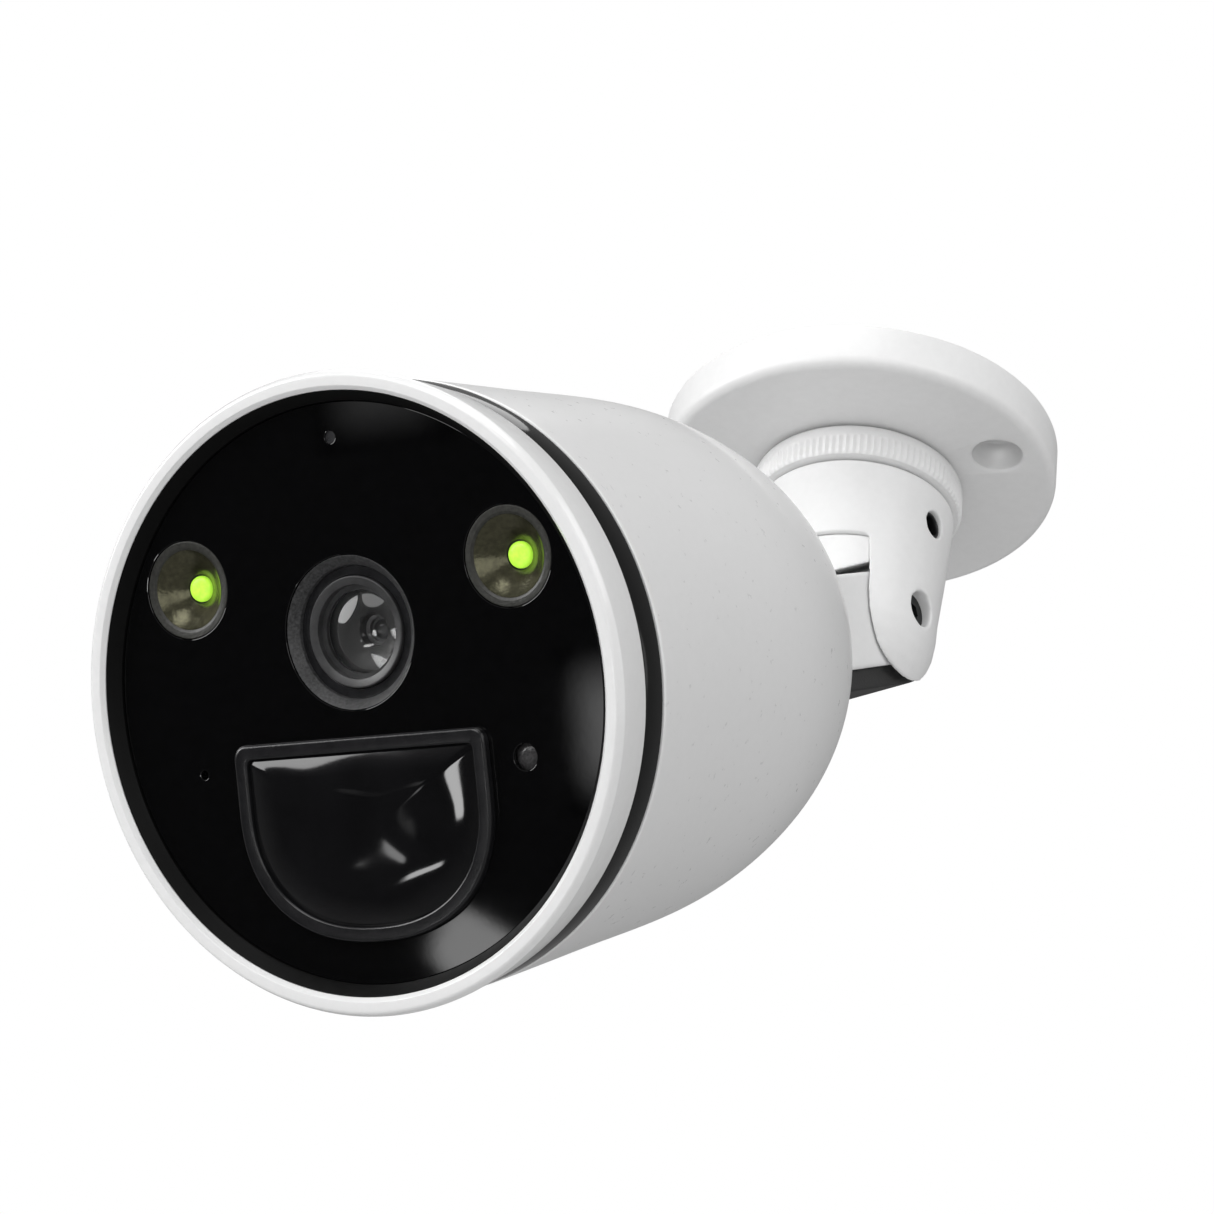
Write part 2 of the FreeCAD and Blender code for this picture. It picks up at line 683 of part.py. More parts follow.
def lens_front():
    radius = 9.5
    glass = rod_y(GLASS_R, 4.3, 7.4, 0, LENS_Z)
    glass = glass.common(Part.makeSphere(radius, V(0, 4.5 + radius, LENS_Z)))
    return glass.cut(Part.makeSphere(4.6, V(0, 10.9, LENS_Z)))


def lens_rear():
    glass = rod_y(4.0, 12.0, 16.0, 0, LENS_Z)
    glass = glass.common(Part.makeSphere(6.0, V(0, 12.0 + 6.0, LENS_Z)))
    return glass.common(Part.makeSphere(6.0, V(0, 16.0 - 6.0, LENS_Z)))


def lens_holder():
    tower = rod_y(8.2, 10.4, 19.0, 0, LENS_Z)
    base = box(-13, 13, 19.0, SENSOR_BOARD_Y, LENS_Z - 8.2, LENS_Z + 8.2)
    holder = union(tower, base)
    holder = holder.cut(rod_y(BARREL_THREAD_R, 0, 19.0, 0, LENS_Z))
    holder = holder.cut(rod_y(3.6, 0, 30.0, 0, LENS_Z))
    holder = holder.cut(box(-11.6, 11.6, 20.2, 21.8, LENS_Z - 4.4, LENS_Z + 4.4))
    return holder.cut(box(-5.5, 5.5, 22.6, 30, LENS_Z - 5, LENS_Z + 5))


def ir_filter_slide():
    frame = box(-10.9, 3.9, 20.6, 21.4, LENS_Z - 4.0, LENS_Z + 4.0)
    frame = frame.cut(box(-10.0, -4.2, 20, 22, LENS_Z - 3.0, LENS_Z + 3.0))
    return frame


def image_sensor():
    return box(-3.4, 3.4, SENSOR_BOARD_Y - 0.9, SENSOR_BOARD_Y, LENS_Z - 2.6, LENS_Z + 2.6)


def sensor_board():
    return box(-17, 17, SENSOR_BOARD_Y, SENSOR_BOARD_Y + BOARD_T, LENS_Z - 19, LENS_Z + 17)


# ---- small face pieces ----
def light_sensor():
    x, z = SENSOR_XZ
    dome = rod_y(SENSOR_R, 3.1, BOARD_Y, x, z)
    return dome.common(Part.makeSphere(3.4, V(x, 6.4, z)))


def status_light():
    x, z = STATUS_XZ
    return rod_y(STATUS_R, PLATE_FRONT_Y + 0.2, BOARD_Y, x, z)


def microphone():
    x, z = MIC_XZ
    body = rod_y(2.0, PLATE_BACK_Y, BOARD_Y, x, z)
    return body.cut(rod_y(MIC_R, PLATE_BACK_Y - 1, PLATE_BACK_Y + 0.8, x, z))


# ---- electronics in the housing ----
def main_board():
    board = box(MAIN_X, MAIN_X + BOARD_T, 30, 77, -21, 23)
    return union(board, box(MAIN_X, MAIN_X + BOARD_T, 44, 68, -28, -20))


def processor():
    return box(MAIN_X + BOARD_T, MAIN_X + BOARD_T + 1.4, 38, 52, -4, 10)


def heat_sink():
    x0 = MAIN_X + BOARD_T + 1.4
    sink = box(x0, x0 + 2, 35, 55, -7, 13)
    for i in range(6):
        z = -7 + i * 3.7
        sink = sink.fuse(box(x0 + 1.5, x0 + 9, 35, 55, z, z + 1.5))
    return sink.removeSplitter()


def wifi_module():
    x1 = MAIN_X
    board = box(x1 - 1.0, x1, 58, 73, -2, 12)
    can = box(x1 - 3.0, x1 - 1.0, 59.5, 71.5, 0, 11)
    return union(board, can)


def antenna():
    return box(-22, -21.4, 34, 68, -4, 4)


def board_tray():
    x1 = MAIN_X - 2.5
    plate = box(x1 - 6.5, x1 - 5.0, 31, 76, -17, 19)
    for y in (33.5, 74.0):
        for z in (-15.0, 17.0):
            plate = plate.fuse(rod_x(2.2, x1 - 5.5, MAIN_X, y, z))
    rib = box(x1 - 6.5, x1 - 5.0, 31, 76, -24, -17)
    return union(plate, rib)


def board_screws():
    x0 = MAIN_X + BOARD_T
    heads = []
    for y in (33.5, 74.0):
        for z in (-15.0, 17.0):
            heads.append(rod_x(2.0, x0, x0 + 1.3, y, z))
    return Part.makeCompound(heads)


def speaker():
    z = -30.5
    basket = rod_z(SPEAKER_R, z, z + 2.0, 0, SPEAKER_Y)
    magnet = rod_z(6.0, z + 2.0, z + 5.0, 0, SPEAKER_Y)
    cone = Part.makeCone(7.6, 3.5, 1.4, V(0, SPEAKER_Y, z - 0.01), V(0, 0, 1))
    return union(basket, magnet).cut(cone)


def card_slot():
    x0 = MAIN_X + BOARD_T
    shell = box(x0, CARD_X + CARD_T + 1.2, CARD_Y - 1.4, CARD_Y + CARD_W + 1.4, -28.6, -13)
    return shell.cut(box(CARD_X - 0.3, CARD_X + CARD_T + 0.3, CARD_Y - 0.3, CARD_Y + CARD_W + 0.3, -30, -14.0))


def memory_card():
    card = box(CARD_X, CARD_X + CARD_T, CARD_Y, CARD_Y + CARD_W, CARD_Z, CARD_Z + CARD_LEN)
    notch = box(CARD_X - 1, CARD_X + 2, CARD_Y - 1, CARD_Y + 1.2, CARD_Z + 8, CARD_Z + CARD_LEN + 1)
    return card.cut(notch)


def reset_button():
    cap = rod_z(1.5, -32.2, -28.9, BUTTON_X, BUTTON_Y)
    return union(cap, rod_z(2.3, -29.2, -28.6, BUTTON_X, BUTTON_Y))


def reset_switch():
    x0 = MAIN_X + BOARD_T
    return box(x0, BUTTON_X + 2.5, BUTTON_Y - 2.5, BUTTON_Y + 2.5, -27.8, -24.5)


def service_cover():
    blank = box(-COVER_HALF, COVER_HALF, COVER_Y0, COVER_Y1, -60, 0)
    flap = blank.common(outer_solid()).cut(skin_below(COVER_T))
    return union(flap, rod_x(HINGE_BEAD_R, -HINGE_BEAD_HALF, HINGE_BEAD_HALF, COVER_Y1, HINGE_Z))


def cable_gland():
    return tube_y(GLAND_R, GLAND_BORE_R + 1.0, GLAND_Y0, GLAND_Y1, 0, GLAND_Z)


def gland_seal():
    return tube_y(GLAND_BORE_R + 1.0, GLAND_BORE_R, GLAND_Y0, GLAND_Y1 + 0.6, 0, GLAND_Z)


def main():
    os.makedirs("parts", exist_ok=True)
    bracket = {"base_plate": base_plate(), "base_gasket": base_gasket(), "pan_post": pan_post(),
               "lock_ring": lock_ring(), "stem_yoke": stem_yoke(), "stem_flange": stem_flange(),
               "flange_screws": flange_screws(), "tilt_bolt": tilt_bolt(), "tilt_nut": tilt_nut(),
               "clamp_screw": clamp_screw(), "slot_insert": slot_insert()}
    arm = {"camera_arm": camera_arm(), "arm_cover": arm_cover(), "arm_seal": arm_seal(), "swivel_washer": swivel_washer(),
           "swivel_nut": swivel_nut()}
    camera = {"housing": housing(), "bezel_ring": bezel_ring(), "trim_ring": trim_ring(),
              "black_band": black_band(), "faceplate": faceplate(), "front_carrier": front_carrier(),
              "front_seal": front_seal(), "carrier_screws": carrier_screws(),
              "pir_frame": pir_frame(), "pir_lens": pir_lens(), "pir_sensor": pir_sensor(),
              "pir_board": pir_board(), "reflector_left": reflector(-LED_X),
              "reflector_right": reflector(LED_X), "led_left": led(-LED_X),
              "led_right": led(LED_X), "led_board": led_board(), "lens_seal": lens_seal(),
              "lens_barrel": lens_barrel(), "lens_front": lens_front(), "lens_rear": lens_rear(),
              "lens_holder": lens_holder(), "ir_filter_slide": ir_filter_slide(),
              "image_sensor": image_sensor(), "sensor_board": sensor_board(),
              "light_sensor": light_sensor(), "status_light": status_light(),
              "microphone": microphone(), "main_board": main_board(), "processor": processor(),
              "heat_sink": heat_sink(), "wifi_module": wifi_module(), "antenna": antenna(),
              "board_tray": board_tray(), "board_screws": board_screws(), "speaker": speaker(),
              "card_slot": card_slot(), "memory_card": memory_card(),
              "reset_button": reset_button(), "reset_switch": reset_switch(),
              "service_cover": service_cover(), "cable_gland": cable_gland(),
              "gland_seal": gland_seal()}
    for name, shape in bracket.items():
        save_bracket(name, shape)
    for name, shape in arm.items():
        save_arm(name, shape)
    for name, shape in camera.items():
        save_camera(name, shape)


main()
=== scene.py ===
import json
import math

import bmesh
import bpy
import numpy as np
from mathutils import Matrix, Vector


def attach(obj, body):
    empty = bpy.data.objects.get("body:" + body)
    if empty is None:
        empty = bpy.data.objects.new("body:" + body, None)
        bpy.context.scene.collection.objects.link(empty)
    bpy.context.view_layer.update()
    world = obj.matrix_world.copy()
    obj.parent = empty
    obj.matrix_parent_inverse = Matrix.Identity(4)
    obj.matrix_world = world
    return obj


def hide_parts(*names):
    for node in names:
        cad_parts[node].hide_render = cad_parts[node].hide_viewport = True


# Bullet security camera on a clevis bracket. Pieces are drawn in millimetres in one of three frames
# and placed in the part's own frame, in metres: the bracket's, the arm's and the camera's.

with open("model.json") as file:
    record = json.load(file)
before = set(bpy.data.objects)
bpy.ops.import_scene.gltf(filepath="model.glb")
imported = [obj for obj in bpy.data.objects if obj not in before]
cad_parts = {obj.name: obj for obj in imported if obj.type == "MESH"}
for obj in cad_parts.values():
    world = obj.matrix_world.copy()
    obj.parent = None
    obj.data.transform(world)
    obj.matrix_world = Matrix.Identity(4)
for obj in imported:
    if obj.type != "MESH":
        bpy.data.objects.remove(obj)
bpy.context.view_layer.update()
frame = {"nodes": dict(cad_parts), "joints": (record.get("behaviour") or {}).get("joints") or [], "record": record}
nodes = frame["nodes"]
joints = {j["name"]: j for j in frame["joints"]}

MM = 0.001
PIVOT_Y = 132.0      # tilt axis behind the front lip
PIVOT_DROP = 35.0    # tilt axis below the mounting face
CLAMP_Z = -20.0      # clamp screw below the mounting face
PLATE_R = 30.5       # base plate
PLATE_HOLE_RING = 23.0
PLATE_HOLE_TURN = 9.5   # first screw hole, degrees from +X


# ---- frames ----
def frame_of(x, y, origin):
    z = x.cross(y)
    turn = Matrix((x, y, z)).transposed().to_4x4()
    return Matrix.Translation(origin) @ turn @ Matrix.Scale(MM, 4)


camera_y = Vector(joints["roll"]["axis"]).normalized()
camera_x = Vector(joints["ir_filter_move"]["axis"]).normalized()
tilt_x = Vector(joints["tilt"]["axis"])
pivot = Vector(joints["tilt"]["pos_m"])
front = pivot - camera_y * PIVOT_Y * MM
BRACKET = Matrix.Scale(MM, 4)
ARM = frame_of(tilt_x, camera_y, front)
CAMERA = frame_of(camera_x, camera_y, front)


# ---- materials ----
class Nodes:
    """A short way to write a node tree."""

    def __init__(self, tree):
        self.tree = tree

    def add(self, kind, **settings):
        node = self.tree.nodes.new(kind)
        for key, value in settings.items():
            if hasattr(node, key):
                setattr(node, key, value)
            else:
                node.inputs[key.replace("_", " ")].default_value = value
        return node

    def link(self, source, target):
        self.tree.links.new(source, target)


def tinted(color, factor):
    return tuple(min(1.0, c * factor) for c in color[:3]) + (1.0,)


def surface(name, color, rough, vary=0.04, grain=700.0, rough_vary=0.25, bump=0.04,
            bump_grain=2600.0, dust=0.0, stretch=None, **sockets):
    """Moulded or painted surface: mottled colour, uneven gloss, fine bump and optional dust specks."""
    mat = bpy.data.materials.new(name)
    mat.use_nodes = True
    n = Nodes(mat.node_tree)
    shader = mat.node_tree.nodes["Principled BSDF"]
    for key, value in sockets.items():
        shader.inputs[key.replace("_", " ")].default_value = value
    coords = n.add("ShaderNodeTexCoord").outputs["Object"]
    if stretch:
        mapping = n.add("ShaderNodeMapping")
        mapping.inputs["Scale"].default_value = stretch
        n.link(coords, mapping.inputs["Vector"])
        coords = mapping.outputs["Vector"]
    noise = n.add("ShaderNodeTexNoise", Scale=grain, Detail=4.0, Roughness=0.6)
    n.link(coords, noise.inputs["Vector"])
    ramp = n.add("ShaderNodeValToRGB")
    ramp.color_ramp.elements[0].position = 0.3
    ramp.color_ramp.elements[1].position = 0.7
    ramp.color_ramp.elements[0].color = tinted(color, 1 - vary)
    ramp.color_ramp.elements[1].color = tinted(color, 1 + vary)
    n.link(noise.outputs["Fac"], ramp.inputs["Fac"])
    spread = n.add("ShaderNodeMapRange", To_Min=rough * (1 - rough_vary), To_Max=rough * (1 + rough_vary))
    n.link(noise.outputs["Fac"], spread.inputs["Value"])
    base = ramp.outputs["Color"]
    gloss = spread.outputs["Result"]
    if dust:
        cells = n.add("ShaderNodeTexVoronoi", Scale=330.0)
        n.link(coords, cells.inputs["Vector"])
        near = n.add("ShaderNodeMapRange", From_Min=0.03, From_Max=0.065, To_Min=1.0, To_Max=0.0)
        n.link(cells.outputs["Distance"], near.inputs["Value"])
        chosen = n.add("ShaderNodeMath", operation="GREATER_THAN")
        chosen.inputs[1].default_value = 1 - dust
        n.link(cells.outputs["Color"], chosen.inputs[0])
        speck = n.add("ShaderNodeMath", operation="MULTIPLY")
        n.link(near.outputs["Result"], speck.inputs[0])
        n.link(chosen.outputs["Value"], speck.inputs[1])
        mix = n.add("ShaderNodeMix", data_type="RGBA")
        n.link(speck.outputs["Value"], mix.inputs["Factor"])
        n.link(base, mix.inputs[6])
        mix.inputs[7].default_value = (0.10, 0.10, 0.10, 1)
        base = mix.outputs[2]
        rougher = n.add("ShaderNodeMath", operation="MULTIPLY_ADD", use_clamp=True)
        rougher.inputs[1].default_value = 0.6
        n.link(speck.outputs["Value"], rougher.inputs[0])
        n.link(gloss, rougher.inputs[2])
        gloss = rougher.outputs["Value"]
    n.link(base, shader.inputs["Base Color"])
    n.link(gloss, shader.inputs["Roughness"])
    fine = n.add("ShaderNodeTexNoise", Scale=bump_grain, Detail=3.0)
    n.link(coords, fine.inputs["Vector"])
    relief = n.add("ShaderNodeBump", Strength=bump, Distance=0.0002)
    n.link(fine.outputs["Fac"], relief.inputs["Height"])
    n.link(relief.outputs["Normal"], shader.inputs["Normal"])
    return mat


WHITE = (0.80, 0.80, 0.80)
mats = {
    "white_shell": surface("white_shell", WHITE, 0.30, vary=0.012, bump=0.02, bump_grain=1000.0,
                           Coat_Weight=0.35, Coat_Roughness=0.12),
    "white_bezel": surface("white_bezel", (0.83, 0.83, 0.83), 0.24, vary=0.012, bump=0.02, Coat_Weight=0.4,
                           Coat_Roughness=0.10),
    "white_bracket": surface("white_bracket", (0.82, 0.82, 0.82), 0.38, vary=0.015, bump=0.05),
    "white_ring": surface("white_ring", (0.83, 0.83, 0.83), 0.40, vary=0.02, bump=0.05),
    "black_gloss": surface("black_gloss", (0.004, 0.004, 0.004), 0.07, vary=0.2, bump=0.01, dust=0.02,
                           Specular_IOR_Level=0.22),
    "black_satin": surface("black_satin", (0.008, 0.008, 0.009), 0.22, vary=0.25, bump=0.10, dust=0.03),
    "trim_black": surface("trim_black", (0.003, 0.003, 0.003), 0.45, vary=0.2, bump=0.03,
                          Specular_IOR_Level=0.12),
    "black_plastic": surface("black_plastic", (0.012, 0.012, 0.012), 0.50, vary=0.2, bump=0.10),
    "face_acrylic": surface("face_acrylic", (0.0018, 0.0018, 0.0020), 0.035, vary=0.2, bump=0.004,
                            bump_grain=500.0, dust=0.035),
    "hole_edge": surface("hole_edge", (0.035, 0.035, 0.036), 0.42, vary=0.7, grain=2600.0, bump=0.35),
    "motion_window": surface("motion_window", (0.0045, 0.0045, 0.005), 0.05, vary=0.2, grain=120.0, bump=0.02,
                             bump_grain=160.0, dust=0.02),
    "seal_rubber": surface("seal_rubber", (0.02, 0.02, 0.02), 0.6, vary=0.2, bump=0.2),
    "foam_rubber": surface("foam_rubber", (0.05, 0.05, 0.05), 0.9, vary=0.5, grain=2500.0, bump=0.8),
    "cover_rubber": surface("cover_rubber", (0.78, 0.78, 0.77), 0.5, vary=0.015, bump=0.08),
    "steel": surface("steel", (0.55, 0.55, 0.55), 0.32, vary=0.1, stretch=(1, 1, 6), Metallic=1.0),
    "black_steel": surface("black_steel", (0.05, 0.05, 0.052), 0.35, vary=0.2, bump=0.1, Metallic=0.9),
    "lens_metal": surface("lens_metal", (0.034, 0.034, 0.035), 0.38, vary=0.25, bump=0.1),
    "iris_black": surface("iris_black", (0.013, 0.013, 0.013), 0.5, vary=0.15, bump=0.05),
    "core_glass": surface("core_glass", (0.004, 0.004, 0.006), 0.03, vary=0.1, bump=0.0),
    "sensor_can": surface("sensor_can", (0.62, 0.62, 0.63), 0.28, vary=0.08, Metallic=1.0),
    "sensor_dome": surface("sensor_dome", (0.035, 0.034, 0.035), 0.22, vary=0.5, grain=1800.0, bump=0.25),
    "light_pipe": surface("light_pipe", (0.02, 0.02, 0.022), 0.3, vary=0.3),
    "board_green": surface("board_green", (0.012, 0.11, 0.04), 0.35, vary=0.35, grain=500.0),
    "board_white": surface("board_white", (0.05, 0.05, 0.05), 0.4, vary=0.2, grain=500.0),
    "chip_black": surface("chip_black", (0.02, 0.02, 0.022), 0.55, vary=0.2),
    "heat_sink_metal": surface("heat_sink_metal", (0.6, 0.61, 0.62), 0.4, vary=0.08, stretch=(1, 8, 1),
                               Metallic=1.0),
    "antenna_strip": surface("antenna_strip", (0.62, 0.38, 0.16), 0.3, vary=0.15, Metallic=1.0),
    "speaker_black": surface("speaker_black", (0.02, 0.02, 0.02), 0.6, vary=0.2),
    "card_black": surface("card_black", (0.015, 0.015, 0.015), 0.5, vary=0.2),
    "button_grey": surface("button_grey", (0.10, 0.10, 0.105), 0.5, vary=0.1),
    "reflector_cup": surface("reflector_cup", (0.085, 0.082, 0.050), 0.20, vary=0.3, grain=1500.0, bump=0.12,
                             Metallic=0.75),
    "reflector_rim": surface("reflector_rim", (0.022, 0.022, 0.018), 0.40, vary=0.5, grain=2400.0, bump=0.3),
    "lens_glass": surface("lens_glass", (0.92, 0.92, 0.92), 0.01, vary=0.01, bump=0.0,
                          Transmission_Weight=1.0, IOR=1.5),
    "filter_glass": surface("filter_glass", (0.7, 0.5, 0.55), 0.02, vary=0.02, bump=0.0,
                            Transmission_Weight=1.0, IOR=1.45),
    # Painted glow: the emission brightens the LED chips beyond what the studio light gives them.
    "led_lamp": surface("led_lamp", (0.42, 0.72, 0.05), 0.35, vary=0.25, grain=1400.0,
                        Emission_Color=(0.50, 1.0, 0.07, 1), Emission_Strength=0.62),
}

slot_of = {s["node"]: s["material_slot"] for s in frame["record"]["subparts"]}
for name, node in nodes.items():
    node.data.materials.clear()
    node.data.materials.append(mats[slot_of[name]])
    node.data.shade_smooth()
    node.data.set_sharp_from_angle(angle=math.radians(30))


# ---- mesh helpers ----
def make(name, verts, faces, place, slot, body, replaced=(), sharp=32.0, material=None):
    mesh = bpy.data.meshes.new(name)
    mesh.from_pydata([tuple(v) for v in verts], [], faces)
    bm = bmesh.new()
    bm.from_mesh(mesh)
    bmesh.ops.remove_doubles(bm, verts=bm.verts, dist=1e-5)
    bmesh.ops.recalc_face_normals(bm, faces=bm.faces)
    bm.to_mesh(mesh)
    bm.free()
    mesh.transform(place)
    obj = bpy.data.objects.new(name, mesh)
    bpy.context.scene.collection.objects.link(obj)
    dress(obj, slot, body, replaced, sharp, material)
    return obj


def dress(obj, slot, body, replaced=(), sharp=32.0, material=None):
    obj.data.materials.clear()
    obj.data.materials.append(mats[material or slot])
    obj.data.shade_smooth()
    obj.data.set_sharp_from_angle(angle=math.radians(sharp))
    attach(obj, body)
    if replaced:
        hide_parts(*replaced)


def rounded(corners, steps=5):
    """Round a closed outline. Each corner is (a, b) or (a, b, radius)."""
    out = []
    count = len(corners)
    for i, corner in enumerate(corners):
        p = np.array(corner[:2], float)
        r = corner[2] if len(corner) > 2 else 0.0
        if r <= 0:
            out.append(tuple(p))
            continue
        u = np.array(corners[i - 1][:2], float) - p
        w = np.array(corners[(i + 1) % count][:2], float) - p
        u /= np.linalg.norm(u)
        w /= np.linalg.norm(w)
        half = math.acos(max(-1.0, min(1.0, float(u @ w)))) / 2
        bisector = (u + w) / np.linalg.norm(u + w)
        centre = p + bisector * r / math.sin(half)
        a = p + u * r / math.tan(half) - centre
        b = p + w * r / math.tan(half) - centre
        turn = math.acos(max(-1.0, min(1.0, float(a @ b) / r ** 2)))
        for k in range(steps + 1):
            t = k / steps
            q = (math.sin((1 - t) * turn) * a + math.sin(t * turn) * b) / math.sin(turn)
            out.append(tuple(centre + q))
    return out


def lathe_mesh(outline, segments=192, axis="Y", closed=True):
    """Vertices and faces of a (radius, height) outline turned about an axis."""
    verts = []
    rings = []
    for r, h in outline:
        ring = []
        for k in range(1 if r < 1e-6 else segments):
            a = 2 * math.pi * k / segments
            c, s = r * math.cos(a), r * math.sin(a)
            ring.append(len(verts))
            verts.append((c, h, s) if axis == "Y" else (c, s, h) if axis == "Z" else (h, c, s))
        rings.append(ring)
    pairs = list(zip(rings, rings[1:]))
    if closed:
        pairs.append((rings[-1], rings[0]))
    faces = []
    for a, b in pairs:
        for k in range(segments):
            j = (k + 1) % segments
            if len(a) == 1 and len(b) == 1:
                continue
            if len(a) == 1:
                faces.append((a[0], b[k], b[j]))
            elif len(b) == 1:
                faces.append((a[k], b[0], a[j]))
            else:
                faces.append((a[k], b[k], b[j], a[j]))
    return verts, faces


def shifted(verts, dx=0.0, dy=0.0, dz=0.0):
    return [(x + dx, y + dy, z + dz) for x, y, z in verts]


def loft(rings, close_ends=False):
    """Skin a list of rings with equal point counts, as a closed loop of rings unless ends are closed."""
    size = len(rings[0])
    verts = [p for ring in rings for p in ring]
    faces = []
    last = len(rings) - 1 if close_ends else len(rings)
    for i in range(last):
        a = i * size
        b = (i + 1) % len(rings) * size
        for k in range(size):
            j = (k + 1) % size
            faces.append((a + k, b + k, b + j, a + j))
    if close_ends:
        faces.append(tuple(range(size)))
        faces.append(tuple(range((len(rings) - 1) * size, len(rings) * size)))
    return verts, faces


def scrap(verts, faces, place=BRACKET):
    """A temporary solid for cutting or joining."""
    mesh = bpy.data.meshes.new("scrap")
    mesh.from_pydata([tuple(v) for v in verts], [], faces)
    bm = bmesh.new()
    bm.from_mesh(mesh)
    bmesh.ops.remove_doubles(bm, verts=bm.verts, dist=1e-5)
    bmesh.ops.recalc_face_normals(bm, faces=bm.faces)
    bm.to_mesh(mesh)
    bm.free()
    mesh.transform(place)
    obj = bpy.data.objects.new("scrap", mesh)
    bpy.context.scene.collection.objects.link(obj)
    return obj


def rod(r, a, b, axis="Z", at=(0, 0, 0), segments=64):
    verts, faces = lathe_mesh([(0, a), (r, a), (r, b), (0, b)], segments, axis, closed=False)
    return shifted(verts, *at), faces


def block(x0, x1, y0, y1, z0, z1):
    ring0 = [(x0, y0, z0), (x1, y0, z0), (x1, y1, z0), (x0, y1, z0)]
    ring1 = [(x, y, z1) for x, y, z in ring0]
    return loft([ring0, ring1], close_ends=True)


def freeze(obj):
    """Apply every modifier."""
    graph = bpy.context.evaluated_depsgraph_get()
    mesh = bpy.data.meshes.new_from_object(obj.evaluated_get(graph))
    obj.modifiers.clear()
    old = obj.data
    obj.data = mesh
    bpy.data.meshes.remove(old)


def combine(obj, others, how="DIFFERENCE"):
    for other in others:
        mod = obj.modifiers.new("b", "BOOLEAN")
        mod.object = other
        mod.operation = how
        mod.solver = "EXACT"
    freeze(obj)
    for other in others:
        bpy.data.objects.remove(other)
    return obj


def soften(obj, voxel, rounds, factor=0.5):
    """Remesh finely and smooth, so that every edge gets a moulded radius."""
    mod = obj.modifiers.new("r", "REMESH")
    mod.mode = "VOXEL"
    mod.voxel_size = voxel * MM
    mod = obj.modifiers.new("s", "SMOOTH")
    mod.factor = factor
    mod.iterations = rounds
    freeze(obj)
    return obj


def spline_through(points, samples):
    """Natural cubic spline through (a, b) points, by chord length."""
    p = np.array(points, float)
    t = np.concatenate([[0], np.cumsum(np.linalg.norm(np.diff(p, axis=0), axis=1))])
    n = len(p)
    h = np.diff(t)
    system = np.eye(n)
    right = np.zeros((n, 2))
    for i in range(1, n - 1):
        system[i, i - 1:i + 2] = (h[i - 1], 2 * (h[i - 1] + h[i]), h[i])
        right[i] = 6 * ((p[i + 1] - p[i]) / h[i] - (p[i] - p[i - 1]) / h[i - 1])
    m = np.linalg.solve(system, right)
    out = []
    for s in np.linspace(0, t[-1], samples):
        i = min(int(np.searchsorted(t, s, side="right")) - 1, n - 2)
        a, b = t[i + 1] - s, s - t[i]
        q = (m[i] * a ** 3 + m[i + 1] * b ** 3) / (6 * h[i])
        q = q + (p[i] / h[i] - m[i] * h[i] / 6) * a + (p[i + 1] / h[i] - m[i + 1] * h[i] / 6) * b
        out.append((float(q[0]), float(q[1])))
    return out


# ---- housing ----
HOUSING = [
    (39.35, 12.2), (38.5, 24.0), (37.6, 36.0), (36.8, 48.0), (35.6, 59.0), (33.3, 69.0),
    (29.8, 78.4), (25.2, 86.0), (20.4, 91.6), (15.4, 96.0),
]
WALL = 2.2
CAVITY_END = 90.6
COVER_Y0, COVER_Y1, COVER_HALF = 46.0, 69.0, 8.0
skin = spline_through(HOUSING, 110)


def skin_radius(y):
    return float(np.interp(y, [q[1] for q in skin], [q[0] for q in skin]))


def curved_slab(x0, x1, y0, y1, top, bottom, nx=24, ny=36, edge=0.0):
    """A slab that follows the underside of the housing between two depths below its surface."""
    sheets = []
    for depth in (top, bottom):
        rows = []
        for j in range(ny + 1):
            y = y0 + (y1 - y0) * j / ny
            row = []
            for i in range(nx + 1):
                x = x0 + (x1 - x0) * i / nx
                near = min(x - x0, x1 - x, y - y0, y1 - y)
                drop = edge - math.sqrt(max(edge ** 2 - max(edge - near, 0) ** 2, 0)) if edge else 0.0
                r = skin_radius(y) - depth - (drop if depth == top else 0.0)
                row.append((x, y, -math.sqrt(r ** 2 - x ** 2)))
            rows.append(row)
        sheets.append(rows)
    verts = [p for rows in sheets for row in rows for p in row]
    width = nx + 1
    size = width * (ny + 1)
    faces = []
    for s in (0, size):
        for j in range(ny):
            for i in range(nx):
                a = s + j * width + i
                faces.append((a, a + 1, a + width + 1, a + width))
    rim = [i for i in range(width)]
    rim += [j * width + nx for j in range(1, ny + 1)]
    rim += [ny * width + i for i in range(nx - 1, -1, -1)]
    rim += [j * width for j in range(ny - 1, 0, -1)]
    for a, b in zip(rim, rim[1:] + rim[:1]):
        faces.append((a, b, b + size, a + size))
    return verts, faces


def inset_profile(points, depth):
    moved = []
    for i, (r, y) in enumerate(points):
        before = points[max(i - 1, 0)]
        after = points[min(i + 1, len(points) - 1)]
        dr, dy = after[0] - before[0], after[1] - before[1]
        length = math.hypot(dr, dy)
        moved.append((r - depth * dy / length, y + depth * dr / length))
    return moved


